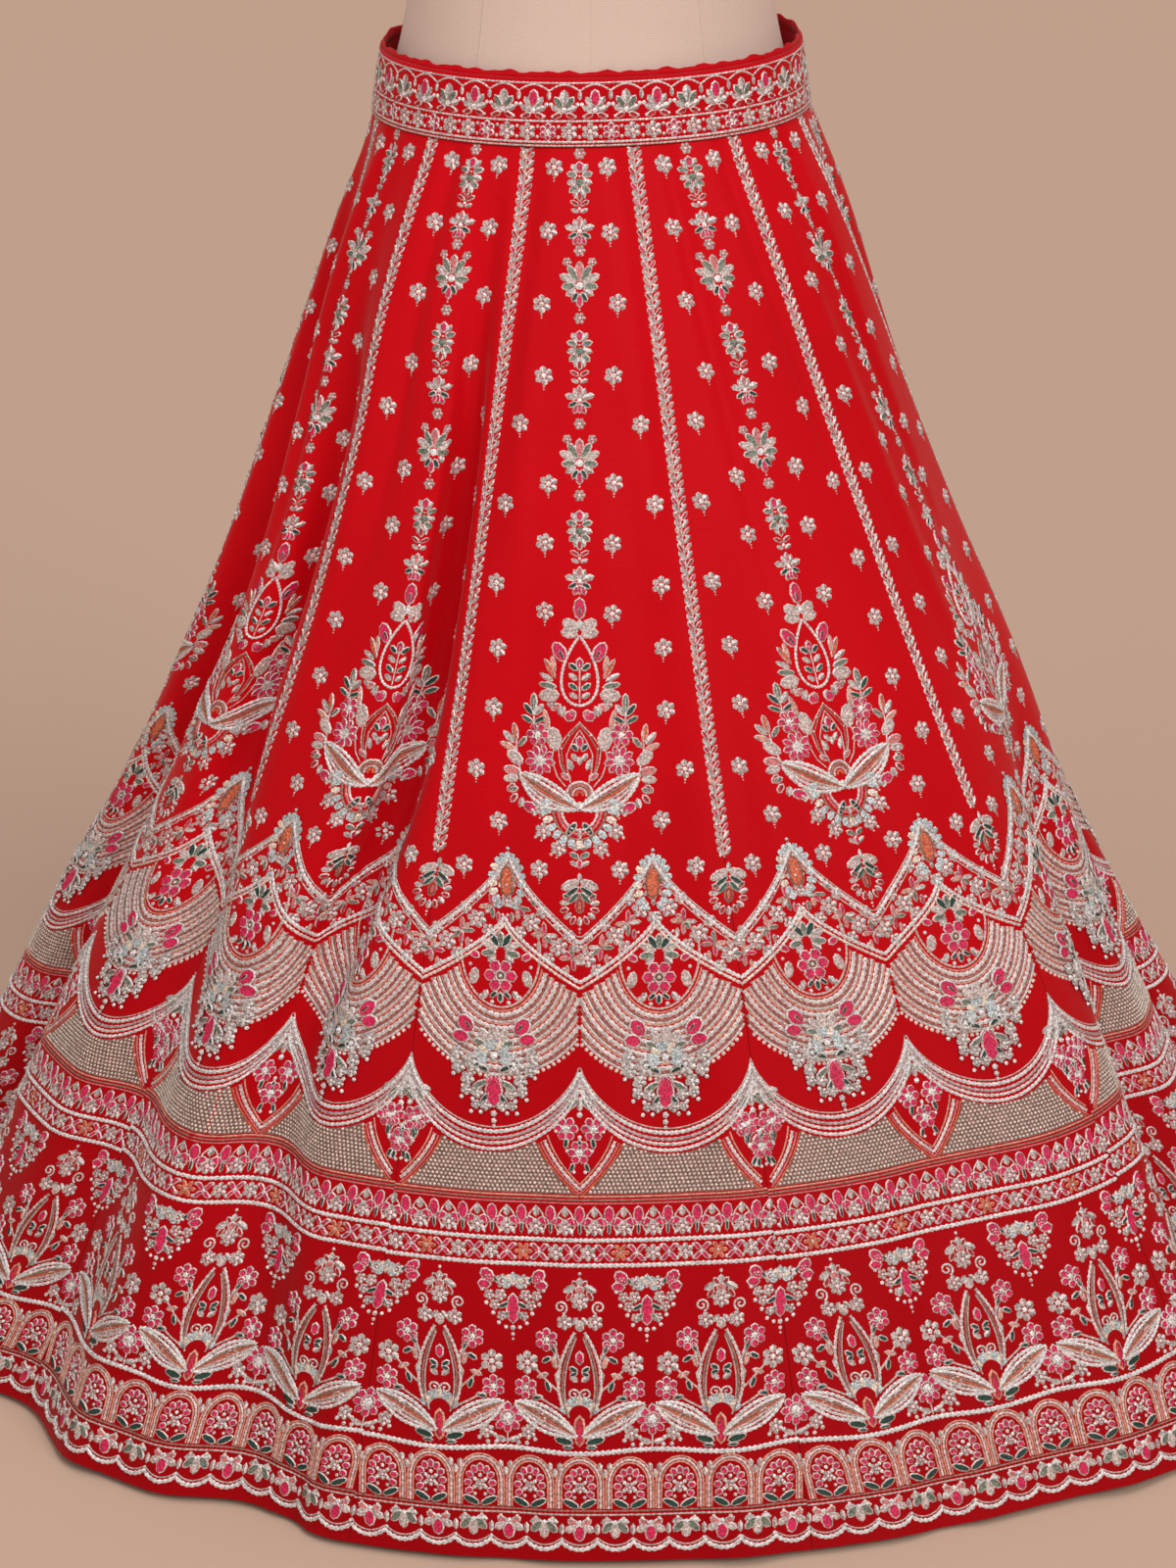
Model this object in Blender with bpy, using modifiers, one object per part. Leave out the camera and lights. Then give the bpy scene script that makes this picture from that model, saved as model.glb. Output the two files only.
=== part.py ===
"""Lehenga skirt on a dress form.

A floor-length flared skirt of twelve gores hangs from a shaped waistband on a
limbless dress form. Metres, +Z up, +X to the right and -Y to the front. The
origin is on the floor, under the middle of the form.
"""

from collections import namedtuple
from math import cos, pi, radians, sin

import bmesh
import bpy
import numpy as np

# Driving dimensions of the skirt.
GORES = 12
CLOTH_LENGTH = 1.0105          # waist seam to hem edge, down the cloth
WAIST_HEIGHT = 0.942           # waist seam above the floor
FLARE_ANGLE = radians(22)      # cloth from the vertical, at the front
GORE_TOP_WIDTH = 0.0752
GORE_FLARE = 0.260             # extra gore width for each metre of length
CLOTH_THICKNESS = 0.0016
SEAM_GAP = 0.0005
FRONT_SHIFT = -0.006           # middle of the front gore from the middle of the form
WAIST_TILT = 0.020             # rise of the waist for each metre to the right
TILT_FADE = 0.35               # length of cloth in which the tilt dies out

# Rings of the skirt: length down the cloth, then distances from the axis.
Ring = namedtuple("Ring", "down left right front back")
RINGS = [Ring(*row) for row in (
    (0.00, 0.159, 0.1635, 0.127, 0.124),
    (0.08, 0.190, 0.1960, 0.157, 0.151),
    (0.20, 0.228, 0.2360, 0.202, 0.192),
    (0.33, 0.272, 0.2840, 0.251, 0.237),
    (0.46, 0.318, 0.3370, 0.299, 0.284),
    (0.57, 0.364, 0.3750, 0.341, 0.326),
    (0.70, 0.430, 0.4280, 0.389, 0.375),
    (0.82, 0.486, 0.4880, 0.434, 0.418),
    (1.02, 0.572, 0.6000, 0.509, 0.488),
)]
LEFT_SQUARENESS = 2.0          # 2 is an ellipse, and more is squarer
RIGHT_SQUARENESS = 2.15

# Folds: where each valley runs, in gores from the middle of the front gore, and
# how deep it is, both at the five FOLD_LEVELS down the cloth. A negative depth
# is a bulge. Fitted folds also take up whatever width the rings leave over.
FOLD_LEVELS = (0.0, 0.1, 0.4, 0.7, 1.0105)
Fold = namedtuple("Fold", "places half_width depths fitted")
FOLDS = [Fold(*row) for row in (
    ((-1.80, -1.80, -1.78, -1.50, -1.50), 0.27, (0, 0.006, 0.030, 0.024, 0.024), False),
    ((-0.74, -0.74, -0.76, -0.95, -0.78), 0.25, (0, 0.010, 0.034, 0.028, 0.022), False),
    ((1.45, 1.45, 1.48, 1.52, 1.55), 0.60, (0, 0, -0.004, -0.024, -0.024), False),
    ((2.35, 2.32, 2.20, 1.95, 1.85), 0.30, (0, 0, 0.006, 0.034, 0.050), False),
    ((2.90, 2.90, 2.85, 2.75, 2.65), 0.40, (0, 0.02, 0.06, 0.06, 0.06), True),
    ((3.60, 3.60, 3.55, 3.50, 3.45), 0.38, (0, 0.02, 0.05, 0.06, 0.06), True),
    ((4.35, 4.35, 4.30, 4.25, 4.25), 0.38, (0, 0.02, 0.06, 0.06, 0.06), True),
    ((5.15, 5.15, 5.10, 5.10, 5.10), 0.40, (0, 0.02, 0.06, 0.06, 0.06), True),
    ((5.95, 5.95, 5.95, 6.00, 6.00), 0.38, (0, 0.02, 0.05, 0.06, 0.06), True),
    ((-5.00, -5.00, -5.02, -5.00, -5.00), 0.40, (0, 0.02, 0.06, 0.06, 0.06), True),
    ((-4.15, -4.15, -4.15, -4.10, -4.10), 0.38, (0, 0.02, 0.05, 0.05, 0.06), True),
    ((-3.35, -3.35, -3.30, -3.20, -3.20), 0.40, (0, 0.02, 0.06, 0.06, 0.06), True),
    ((-2.55, -2.55, -2.50, -2.40, -2.35), 0.38, (0, 0.02, 0.06, 0.06, 0.06), True),
)]

# Facets of each gore, and points of the smooth surface that they are read from.
GORE_COLUMNS = 12
GORE_ROWS = 13
SURFACE_COLUMNS = 1441
RING_POINTS = 1441
STEEPEST_SHARE = 0.3           # least share of its width that cloth keeps in a fold

# Waistband: its rim is drawn in a little from the waist seam.
BAND_HEIGHT = 0.048
BAND_THICKNESS = 0.0022
BAND_PROUD = 0.0010            # how far it stands out over the gores
BAND_DRAW_IN = 0.007
BAND_COLUMNS = 72

# Rings of the dress form: height, then distances from its own axis.
FormRing = namedtuple("FormRing", "height side front back")
FORM_RINGS = [FormRing(*row) for row in (
    (0.740, 0.1420, 0.104, 0.112),
    (0.752, 0.1530, 0.114, 0.121),
    (0.790, 0.1600, 0.119, 0.126),
    (0.840, 0.1610, 0.119, 0.126),
    (0.900, 0.1605, 0.124, 0.123),
    (0.942, 0.1545, 0.124, 0.121),
    (0.990, 0.1400, 0.116, 0.113),
    (1.030, 0.1320, 0.107, 0.104),
    (1.080, 0.1240, 0.100, 0.095),
    (1.130, 0.1260, 0.104, 0.094),
    (1.190, 0.1400, 0.118, 0.100),
    (1.250, 0.1520, 0.134, 0.106),
    (1.310, 0.1580, 0.130, 0.110),
    (1.360, 0.1700, 0.112, 0.104),
    (1.400, 0.1640, 0.092, 0.090),
    (1.428, 0.1200, 0.072, 0.076),
    (1.446, 0.0740, 0.058, 0.064),
    (1.466, 0.0570, 0.052, 0.058),
    (1.500, 0.0540, 0.050, 0.056),
)]
FORM_SQUARENESS = 2.0
FORM_SHIFT = 0.002             # the form's axis, to the right of the origin
FORM_POINTS = 44
PART_GAP = 0.0004
CAP_RADIUS = 0.050
CAP_HEIGHT = 0.012
CAP_EDGE = 0.004
KNOB_RADIUS = 0.016
KNOB_HEIGHT = 0.026
POLE_RADIUS = 0.014
POLE_EDGE = 0.001
COLLAR_RADIUS = 0.030
COLLAR_HEIGHT = 0.034
COLLAR_EDGE = 0.010
BASE_RADIUS = 0.190
BASE_HEIGHT = 0.016
BASE_EDGE = 0.004

RED_CLOTH = (0.560, 0.004, 0.012)
BAND_CLOTH = (0.480, 0.006, 0.014)
FORM_COVER = (0.640, 0.440, 0.370)
FORM_METAL = (0.055, 0.052, 0.050)


def clear_scene():
    """Remove every object, so that the model starts from nothing."""
    for item in list(bpy.data.objects):
        bpy.data.objects.remove(item, do_unlink=True)


def make_material(name, colour, roughness, metallic=0.0):
    """A Principled material of one finish."""
    material = bpy.data.materials.new(name)
    material.use_nodes = True
    shader = material.node_tree.nodes["Principled BSDF"]
    shader.inputs["Base Color"].default_value = (*colour, 1.0)
    shader.inputs["Roughness"].default_value = roughness
    shader.inputs["Metallic"].default_value = metallic
    material.diffuse_color = (*colour, 1.0)
    return material


def smooth_curve(xs, ys, x):
    """A smooth curve through the points xs, ys that never overshoots, at x."""
    xs = np.asarray(xs, dtype=float)
    ys = np.asarray(ys, dtype=float)
    widths = np.diff(xs)
    slopes = np.diff(ys) / widths
    tangents = np.zeros(len(xs))
    same_way = slopes[:-1] * slopes[1:] > 0
    both = np.where(same_way, slopes[:-1] + slopes[1:], 1.0)
    tangents[1:-1] = np.where(same_way, 2 * slopes[:-1] * slopes[1:] / both, 0.0)
    tangents[0] = slopes[0]
    tangents[-1] = slopes[-1]
    i = int(np.clip(np.searchsorted(xs, x) - 1, 0, len(widths) - 1))
    t = (x - xs[i]) / widths[i]
    keep = (1 + 2 * t) * (1 - t) ** 2 * ys[i] + t * t * (3 - 2 * t) * ys[i + 1]
    lean = t * (1 - t) ** 2 * tangents[i] - t * t * (1 - t) * tangents[i + 1]
    return float(keep + widths[i] * lean)


def read_rings(rings, place):
    """Every size in a table of rings, read at a place given by its first column."""
    columns = list(zip(*rings))
    return [smooth_curve(columns[0], column, place) for column in columns[1:]]


def ring_outline(left, right, front, back, left_power, right_power, count=RING_POINTS):
    """Points round a ring, from the back, by the left, the front and the right."""
    turn = np.linspace(-pi, pi, count)
    side = np.where(turn < 0, left, right)
    power = 2.0 / np.where(turn < 0, left_power, right_power)
    depth = np.where(np.cos(turn) > 0, front, back)
    x = side * np.sign(np.sin(turn)) * np.abs(np.sin(turn)) ** power
    y = -depth * np.sign(np.cos(turn)) * np.abs(np.cos(turn)) ** power
    return x, y


def skirt_ring(down):
    """Outline of the skirt at a length down the cloth, before it is folded."""
    sizes = read_rings(RINGS, down)
    return ring_outline(*sizes, LEFT_SQUARENESS, RIGHT_SQUARENESS)


def fold_depths(gores, down, fit):
    """How far the folds push the cloth in, at places round the skirt."""
    pushed = np.zeros(len(gores))
    for fold in FOLDS:
        middle = smooth_curve(FOLD_LEVELS, fold.places, down)
        depth = smooth_curve(FOLD_LEVELS, fold.depths, down) * (fit if fold.fitted else 1.0)
        away = ((gores - middle + GORES / 2) % GORES - GORES / 2) / fold.half_width
        wave = 0.5 + 0.5 * np.cos(pi * np.clip(away, -1, 1))
        pushed += depth * wave
    return pushed


def walk_round(gores, down, fit):
    """Fold depths, and the length of ring that the folded cloth covers so far."""
    pushed = fold_depths(gores, down, fit)
    width = GORE_TOP_WIDTH + GORE_FLARE * down
    slope = np.gradient(pushed, gores)
    steps = np.sqrt(np.maximum(width ** 2 - slope ** 2, (STEEPEST_SHARE * width) ** 2))
    covered = np.concatenate([[0], np.cumsum((steps[1:] + steps[:-1]) / 2)])
    return pushed, covered * (gores[1] - gores[0])


def folded_ring(gores, down):
    """Points of the folded cloth at one length down it, which fit its ring."""
    x, y = skirt_ring(down)
    along = np.concatenate([[0], np.cumsum(np.hypot(np.diff(x), np.diff(y)))])
    length = along[-1]
    along -= along[len(along) // 2]
    low, high = 0.0, 2.0
    for _ in range(30):
        fit = (low + high) / 2
        pushed, covered = walk_round(gores, down, fit)
        low, high = (fit, high) if covered[-1] > length else (low, fit)
    covered *= length / covered[-1]
    covered += FRONT_SHIFT - covered[len(covered) // 2]
    covered = (covered - along[0]) % length + along[0]
    lean_x = np.interp(covered, along, np.gradient(x))
    lean_y = np.interp(covered, along, np.gradient(y))
    lean = np.hypot(lean_x, lean_y)
    px = np.interp(covered, along, x) - pushed * lean_y / lean
    py = np.interp(covered, along, y) + pushed * lean_x / lean
    fade = np.clip(1 - down / TILT_FADE, 0, 1) ** 2
    pz = WAIST_HEIGHT - down * cos(FLARE_ANGLE) + WAIST_TILT * fade * px
    return np.stack([px, py, pz], axis=1)


def skirt_surface():
    """Outer surface of the cloth and its outward normals, rows down, columns round."""
    gores = np.linspace(-GORES / 2, GORES / 2, SURFACE_COLUMNS)
    downs = np.linspace(0, CLOTH_LENGTH, GORE_ROWS + 1)
    points = np.array([folded_ring(gores, down) for down in downs])
    # The first and last columns are the same line of cloth, at the back.
    wrapped = np.concatenate([points[:, -2:-1], points, points[:, 1:2]], axis=1)
    across = wrapped[:, 2:] - wrapped[:, :-2]
    down_cloth = np.gradient(points, axis=0)
    normals = np.cross(across, down_cloth)
    normals /= np.linalg.norm(normals, axis=2, keepdims=True)
    # Outward is away from the axis.
    if normals[0, SURFACE_COLUMNS // 2, 1] > 0:
        normals = -normals
    return gores, downs, points, normals


def add_grid(mesh, points, flip):
    """Vertices of a grid of points, joined by triangles that all lean the same way.

    The two sides of a thin wall need the same diagonals, so that they stay apart
    where the folds twist the facets.
    """
    rows, columns = points.shape[:2]
    corners = [[mesh.verts.new(point) for point in row] for row in points]
    for r in range(rows - 1):
        for c in range(columns - 1):
            first, last = corners[r][c], corners[r + 1][c + 1]
            for face in ([first, corners[r + 1][c], last], [first, last, corners[r][c + 1]]):
                mesh.faces.new(face[::-1] if flip else face)
    return corners


def close_rims(mesh, outer, inner):
    """Quads round the edge of a wall, between its outer and inner grids."""
    def edge_of(grid):
        down = [row[0] for row in grid]
        along = grid[-1][1:]
        up = [row[-1] for row in grid[-2::-1]]
        back = grid[0][-2:0:-1]
        return down + along + up + back

    outside = edge_of(outer)
    inside = edge_of(inner)
    for k in range(len(outside)):
        after = (k + 1) % len(outside)
        mesh.faces.new([outside[after], outside[k], inside[k], inside[after]])


def add_object(name, mesh, material, collection):
    """Finish a bmesh as a named object in the collection."""
    data = bpy.data.meshes.new(name)
    bmesh.ops.recalc_face_normals(mesh, faces=mesh.faces)
    mesh.to_mesh(data)
    mesh.free()
    data.materials.append(material)
    item = bpy.data.objects.new(name, data)
    collection.objects.link(item)
    return item


def make_gore(number, surface, material, collection):
    """One gore: a wall lofted down its rings, a seam gap short at each side."""
    gores, downs, points, normals = surface
    middle = number if number <= GORES / 2 else number - GORES
    columns = []
    for down in downs:
        margin = SEAM_GAP / 2 / (GORE_TOP_WIDTH + GORE_FLARE * down)
        columns.append(middle + np.linspace(-0.5 + margin, 0.5 - margin, GORE_COLUMNS + 1))
    places = (np.array(columns) + GORES / 2) % GORES - GORES / 2

    def read(table):
        rows = [[np.interp(places[r], gores, table[r, :, k]) for k in range(3)]
                for r in range(len(downs))]
        return np.transpose(np.array(rows), (0, 2, 1))

    outer = read(points)
    inner = outer - CLOTH_THICKNESS * read(normals)
    mesh = bmesh.new()
    outer_corners = add_grid(mesh, outer, False)
    inner_corners = add_grid(mesh, inner, True)
    close_rims(mesh, outer_corners, inner_corners)
    return add_object(f"gore_{number + 1:02d}", mesh, material, collection)


def make_waistband(surface, material, collection):
    """A shaped band: an open ring with Solidify, drawn in towards its rim."""
    _, _, points, _ = surface
    picked = np.arange(BAND_COLUMNS) * (SURFACE_COLUMNS - 1) // BAND_COLUMNS
    ring = points[0, picked]
    out = ring * (1, 1, 0)
    out /= np.linalg.norm(out, axis=1, keepdims=True)
    mesh = bmesh.new()
    rows = []
    for share in (0.0, 0.5, 1.0):
        lift = SEAM_GAP + share * BAND_HEIGHT
        spread = BAND_PROUD - share * BAND_DRAW_IN
        row = ring + out * spread + np.array((0, 0, lift))
        rows.append([mesh.verts.new(point) for point in row])
    for lower, upper in zip(rows, rows[1:]):
        for k in range(BAND_COLUMNS):
            after = (k + 1) % BAND_COLUMNS
            mesh.faces.new([lower[k], lower[after], upper[after], upper[k]])
    band = add_object("waistband", mesh, material, collection)
    wall = band.modifiers.new("Wall", "SOLIDIFY")
    wall.thickness = BAND_THICKNESS
    wall.offset = -1
    return band


def make_torso(material, collection):
    """The form's torso: a loft through its rings, closed at the hips and the neck."""
    heights = [ring.height for ring in FORM_RINGS]
    between = [(low + high) / 2 for low, high in zip(heights, heights[1:])]
    mesh = bmesh.new()
    rows = []
    for height in sorted(heights + between):
        side, front, back = read_rings(FORM_RINGS, height)
        x, y = ring_outline(side, side, front, back, FORM_SQUARENESS, FORM_SQUARENESS,
                            FORM_POINTS + 1)
        x += FORM_SHIFT
        rows.append([mesh.verts.new((x[k], y[k], height)) for k in range(FORM_POINTS)])
    for lower, upper in zip(rows, rows[1:]):
        for k in range(FORM_POINTS):
            after = (k + 1) % FORM_POINTS
            mesh.faces.new([lower[k], lower[after], upper[after], upper[k]])
    mesh.faces.new(rows[0][::-1])
    mesh.faces.new(rows[-1])
    torso = add_object("form_torso", mesh, material, collection)
    torso.data.shade_smooth()
    return torso


def make_turned(name, profile, segments, material, collection):
    """A turned piece: its profile, down its outer side, with a Screw modifier."""
    data = bpy.data.meshes.new(name)
    points = [(radius, 0, height) for radius, height in profile]
    data.from_pydata(points, [(k, k + 1) for k in range(len(points) - 1)], [])
    data.materials.append(material)
    item = bpy.data.objects.new(name, data)
    collection.objects.link(item)
    screw = item.modifiers.new("Turn", "SCREW")
    screw.angle = 2 * pi
    screw.steps = segments
    screw.render_steps = segments
    screw.use_merge_vertices = True
    screw.merge_threshold = 0.00005
    return item


def knob_profile(foot):
    """A round knob on a short neck, from its top down to its foot."""
    neck = KNOB_RADIUS * 0.5
    turns = [pi / 2 * k / 6 for k in range(7)]
    dome = [(KNOB_RADIUS * sin(turn), foot + KNOB_HEIGHT * (0.45 + 0.55 * cos(turn)))
            for turn in turns]
    return dome + [(neck, foot + KNOB_HEIGHT * 0.25), (neck, foot), (0, foot)]


def disc_profile(radius, foot, height, edge):
    """A disc with a slanted upper edge, from its top down to its foot."""
    top = foot + height
    return [(0, top), (radius - edge, top), (radius, top - edge), (radius, foot), (0, foot)]


def make_stand(metal, collection):
    """Neck cap, knob, pole, collar and round base of the form."""
    torso_foot = FORM_RINGS[0].height
    cap_foot = FORM_RINGS[-1].height + PART_GAP
    knob_foot = cap_foot + CAP_HEIGHT + PART_GAP
    collar_foot = BASE_HEIGHT + PART_GAP
    pole_foot = collar_foot + COLLAR_HEIGHT + PART_GAP
    pole_height = torso_foot - PART_GAP - pole_foot
    pieces = (
        ("form_neck_cap", disc_profile(CAP_RADIUS, cap_foot, CAP_HEIGHT, CAP_EDGE), 40),
        ("form_knob", knob_profile(knob_foot), 24),
        ("form_pole", disc_profile(POLE_RADIUS, pole_foot, pole_height, POLE_EDGE), 32),
        ("form_collar", disc_profile(COLLAR_RADIUS, collar_foot, COLLAR_HEIGHT, COLLAR_EDGE), 40),
        ("form_base", disc_profile(BASE_RADIUS, 0, BASE_HEIGHT, BASE_EDGE), 64),
    )
    for name, profile, segments in pieces:
        piece = make_turned(name, profile, segments, metal, collection)
        if name != "form_base":
            piece.location.x = FORM_SHIFT


def main():
    """Build the skirt and the form that it stands on."""
    clear_scene()
    collection = bpy.data.collections.new("Lehenga skirt on dress form")
    bpy.context.scene.collection.children.link(collection)
    red = make_material("red_cloth", RED_CLOTH, 0.55)
    band_red = make_material("band_cloth", BAND_CLOTH, 0.60)
    cover = make_material("form_cover", FORM_COVER, 0.85)
    metal = make_material("form_metal", FORM_METAL, 0.40, 0.8)
    surface = skirt_surface()
    for number in range(GORES):
        make_gore(number, surface, red, collection)
    make_waistband(surface, band_red, collection)
    make_torso(cover, collection)
    make_stand(metal, collection)


main()
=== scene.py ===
"""Looks of a lehenga skirt on a dress form.

Twelve red gores hang from a waistband. Their embroidery is designed once, flat and in
millimetres, on the cut of one gore, and is then laid on the curved cloth of all twelve.
"""
from collections import namedtuple
from math import cos, hypot, pi, radians, sin
from random import Random

import bpy
import numpy as np
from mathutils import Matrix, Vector


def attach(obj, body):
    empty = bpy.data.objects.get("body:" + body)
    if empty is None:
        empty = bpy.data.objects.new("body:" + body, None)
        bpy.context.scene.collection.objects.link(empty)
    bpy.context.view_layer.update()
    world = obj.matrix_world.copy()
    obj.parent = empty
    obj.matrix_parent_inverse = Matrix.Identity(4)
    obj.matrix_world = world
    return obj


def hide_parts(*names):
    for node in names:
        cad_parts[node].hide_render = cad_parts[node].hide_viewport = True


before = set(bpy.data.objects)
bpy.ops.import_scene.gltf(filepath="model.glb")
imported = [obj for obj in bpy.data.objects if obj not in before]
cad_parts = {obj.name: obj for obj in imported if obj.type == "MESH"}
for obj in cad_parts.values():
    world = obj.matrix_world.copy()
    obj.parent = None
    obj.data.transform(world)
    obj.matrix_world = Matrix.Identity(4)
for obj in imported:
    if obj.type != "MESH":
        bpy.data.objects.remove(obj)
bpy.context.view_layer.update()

bl_info = {
    "name": "Lehenga Skirt",
    "version": (1, 0, 0),
    "blender": (4, 5, 0),
    "location": "3D View > Sidebar > Lehenga",
    "description": "Cloth, embroidery, dress form and studio for a bridal lehenga skirt",
    "category": "Object",
}

BODY = "root"

# ---------------------------------------------------------------- the cut of the skirt
GORES = 12
CLOTH_LENGTH = 1.0105
WAIST_HEIGHT = 0.942
FLARE_ANGLE = radians(22)
GORE_TOP_WIDTH = 0.0752
GORE_FLARE = 0.260
CLOTH_THICKNESS = 0.0016
SEAM_GAP = 0.0005
FRONT_SHIFT = -0.006
WAIST_TILT = 0.020
TILT_FADE = 0.35
STEEPEST_SHARE = 0.3
RING_POINTS = 1441
LEFT_SQUARENESS = 2.0
RIGHT_SQUARENESS = 2.15

Ring = namedtuple("Ring", "down left right front back")
RINGS = [Ring(*row) for row in (
    (0.00, 0.159, 0.1635, 0.127, 0.124),
    (0.08, 0.190, 0.1960, 0.157, 0.151),
    (0.20, 0.228, 0.2360, 0.202, 0.192),
    (0.33, 0.272, 0.2840, 0.251, 0.237),
    (0.46, 0.318, 0.3370, 0.299, 0.284),
    (0.57, 0.364, 0.3750, 0.341, 0.326),
    (0.70, 0.430, 0.4280, 0.389, 0.375),
    (0.82, 0.486, 0.4880, 0.434, 0.418),
    (1.02, 0.572, 0.6000, 0.509, 0.488),
)]

FOLD_LEVELS = (0.0, 0.1, 0.4, 0.7, 1.0105)
Fold = namedtuple("Fold", "places half_width depths fitted")
FOLDS = [Fold(*row) for row in (
    ((-1.80, -1.80, -1.78, -1.50, -1.50), 0.27, (0, 0.006, 0.030, 0.024, 0.024), False),
    ((-0.74, -0.74, -0.76, -0.95, -0.78), 0.25, (0, 0.010, 0.034, 0.028, 0.022), False),
    ((1.45, 1.45, 1.48, 1.52, 1.55), 0.60, (0, 0, -0.004, -0.024, -0.024), False),
    ((2.35, 2.32, 2.20, 1.95, 1.85), 0.30, (0, 0, 0.006, 0.034, 0.050), False),
    ((2.90, 2.90, 2.85, 2.75, 2.65), 0.40, (0, 0.02, 0.06, 0.06, 0.06), True),
    ((3.60, 3.60, 3.55, 3.50, 3.45), 0.38, (0, 0.02, 0.05, 0.06, 0.06), True),
    ((4.35, 4.35, 4.30, 4.25, 4.25), 0.38, (0, 0.02, 0.06, 0.06, 0.06), True),
    ((5.15, 5.15, 5.10, 5.10, 5.10), 0.40, (0, 0.02, 0.06, 0.06, 0.06), True),
    ((5.95, 5.95, 5.95, 6.00, 6.00), 0.38, (0, 0.02, 0.05, 0.06, 0.06), True),
    ((-5.00, -5.00, -5.02, -5.00, -5.00), 0.40, (0, 0.02, 0.06, 0.06, 0.06), True),
    ((-4.15, -4.15, -4.15, -4.10, -4.10), 0.38, (0, 0.02, 0.05, 0.05, 0.06), True),
    ((-3.35, -3.35, -3.30, -3.20, -3.20), 0.40, (0, 0.02, 0.06, 0.06, 0.06), True),
    ((-2.55, -2.55, -2.50, -2.40, -2.35), 0.38, (0, 0.02, 0.06, 0.06, 0.06), True),
)]

# Small creases of the cloth: where each starts and ends, in gores from the middle of
# the front gore and metres down the cloth. A negative depth is a soft ridge.
Crease = namedtuple("Crease", "top_gore bottom_gore top bottom half_width depth")
CREASES = [Crease(*row) for row in (
    (-0.42, -0.55, 0.02, 0.46, 0.017, 0.0028),
    (-0.30, -0.30, 0.10, 0.42, 0.014, -0.0018),
    (0.34, 0.40, 0.01, 0.30, 0.012, 0.0016),
    (0.12, 0.22, 0.30, 0.74, 0.030, 0.0022),
    (0.52, 0.36, 0.44, 0.98, 0.040, -0.0030),
    (-0.10, -0.16, 0.55, 1.02, 0.036, 0.0024),
    (-1.20, -1.28, 0.00, 0.34, 0.012, 0.0022),
    (-1.48, -1.40, 0.04, 0.50, 0.016, -0.0022),
    (-1.10, -1.22, 0.46, 1.00, 0.034, -0.0034),
    (-2.05, -2.12, 0.00, 0.40, 0.013, 0.0026),
    (-2.16, -2.00, 0.50, 1.02, 0.034, 0.0030),
    (0.82, 0.90, 0.02, 0.36, 0.012, 0.0018),
    (1.12, 1.06, 0.26, 0.80, 0.030, 0.0024),
    (1.34, 1.44, 0.00, 0.28, 0.011, 0.0020),
    (0.96, 0.80, 0.70, 1.02, 0.034, 0.0030),
    (1.70, 1.82, 0.04, 0.44, 0.015, -0.0020),
    (2.06, 2.10, 0.00, 0.34, 0.012, 0.0024),
    (1.30, 1.24, 0.72, 1.02, 0.040, -0.0032),
    (-0.62, -0.66, 0.78, 1.02, 0.022, 0.0030),
    (2.62, 2.50, 0.05, 0.60, 0.017, 0.0026),
    (-2.90, -2.95, 0.02, 0.52, 0.016, 0.0026),
    (-0.78, -0.86, 0.20, 0.68, 0.030, 0.0034),
    (-0.22, -0.30, 0.32, 0.62, 0.022, 0.0026),
    (0.26, 0.32, 0.16, 0.60, 0.026, 0.0022),
    (0.68, 0.76, 0.28, 0.72, 0.028, 0.0026),
    (-1.72, -1.80, 0.16, 0.60, 0.026, 0.0030),
)]
CREASE_RELIEF = 1.8            # every depth is worked this much deeper
CREASE_FADE = 0.7              # how soon a crease is at its full depth
NEAR_WAIST, NEAR_HEM = 0.02, 0.98
BACK_CREASES = 22              # similar ones, on the hidden sides
BACK_START, BACK_SPAN = 3.0, 6.4    # the gores that they are on
CREASE_SEED = 12

SHELL_COLUMNS = 28             # facets of each gore, across and down
SHELL_ROWS = 60
FINER = 6                      # points worked out for each facet across
FINE_COLUMNS = GORES * SHELL_COLUMNS * FINER + 1

BAND_HEIGHT = 0.048
BAND_THICKNESS = 0.0022
BAND_PROUD = 0.0010
BAND_DRAW_IN = 0.007
BAND_COLUMNS = 216
BAND_ROWS = 8
BAND_REPEATS = 20
BAND_SINK = 0.0001             # how far the band's work is set into its silk
FRILL_LEVELS = (0.93, 1.0)
FRILL_RISE, FRILL_WAVE, FRILL_LEAN = 0.0042, 0.0016, 0.0012
FRILL_THICKNESS = 0.0007
SOFT_EDGE = radians(50)

FormRing = namedtuple("FormRing", "height side front back")
FORM_RINGS = [FormRing(*row) for row in (
    (0.740, 0.1420, 0.104, 0.112),
    (0.752, 0.1530, 0.114, 0.121),
    (0.790, 0.1600, 0.119, 0.126),
    (0.840, 0.1610, 0.119, 0.126),
    (0.900, 0.1605, 0.124, 0.123),
    (0.942, 0.1545, 0.124, 0.121),
    (0.990, 0.1400, 0.116, 0.113),
    (1.030, 0.1320, 0.107, 0.104),
    (1.080, 0.1240, 0.100, 0.095),
    (1.130, 0.1260, 0.104, 0.094),
    (1.190, 0.1400, 0.118, 0.100),
    (1.250, 0.1520, 0.134, 0.106),
    (1.310, 0.1580, 0.130, 0.110),
    (1.360, 0.1700, 0.112, 0.104),
    (1.400, 0.1640, 0.092, 0.090),
    (1.428, 0.1200, 0.072, 0.076),
    (1.446, 0.0740, 0.058, 0.064),
    (1.466, 0.0570, 0.052, 0.058),
    (1.500, 0.0540, 0.050, 0.056),
)]
FORM_SHIFT = 0.002
FORM_COLUMNS = 96
FORM_ROWS = 90
FORM_SEAM_TURNS = (-0.62, 0.0, 0.62, 1.57, -1.57, 2.5, -2.5, pi)
FORM_SEAM_WIDTH = 0.0016

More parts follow.
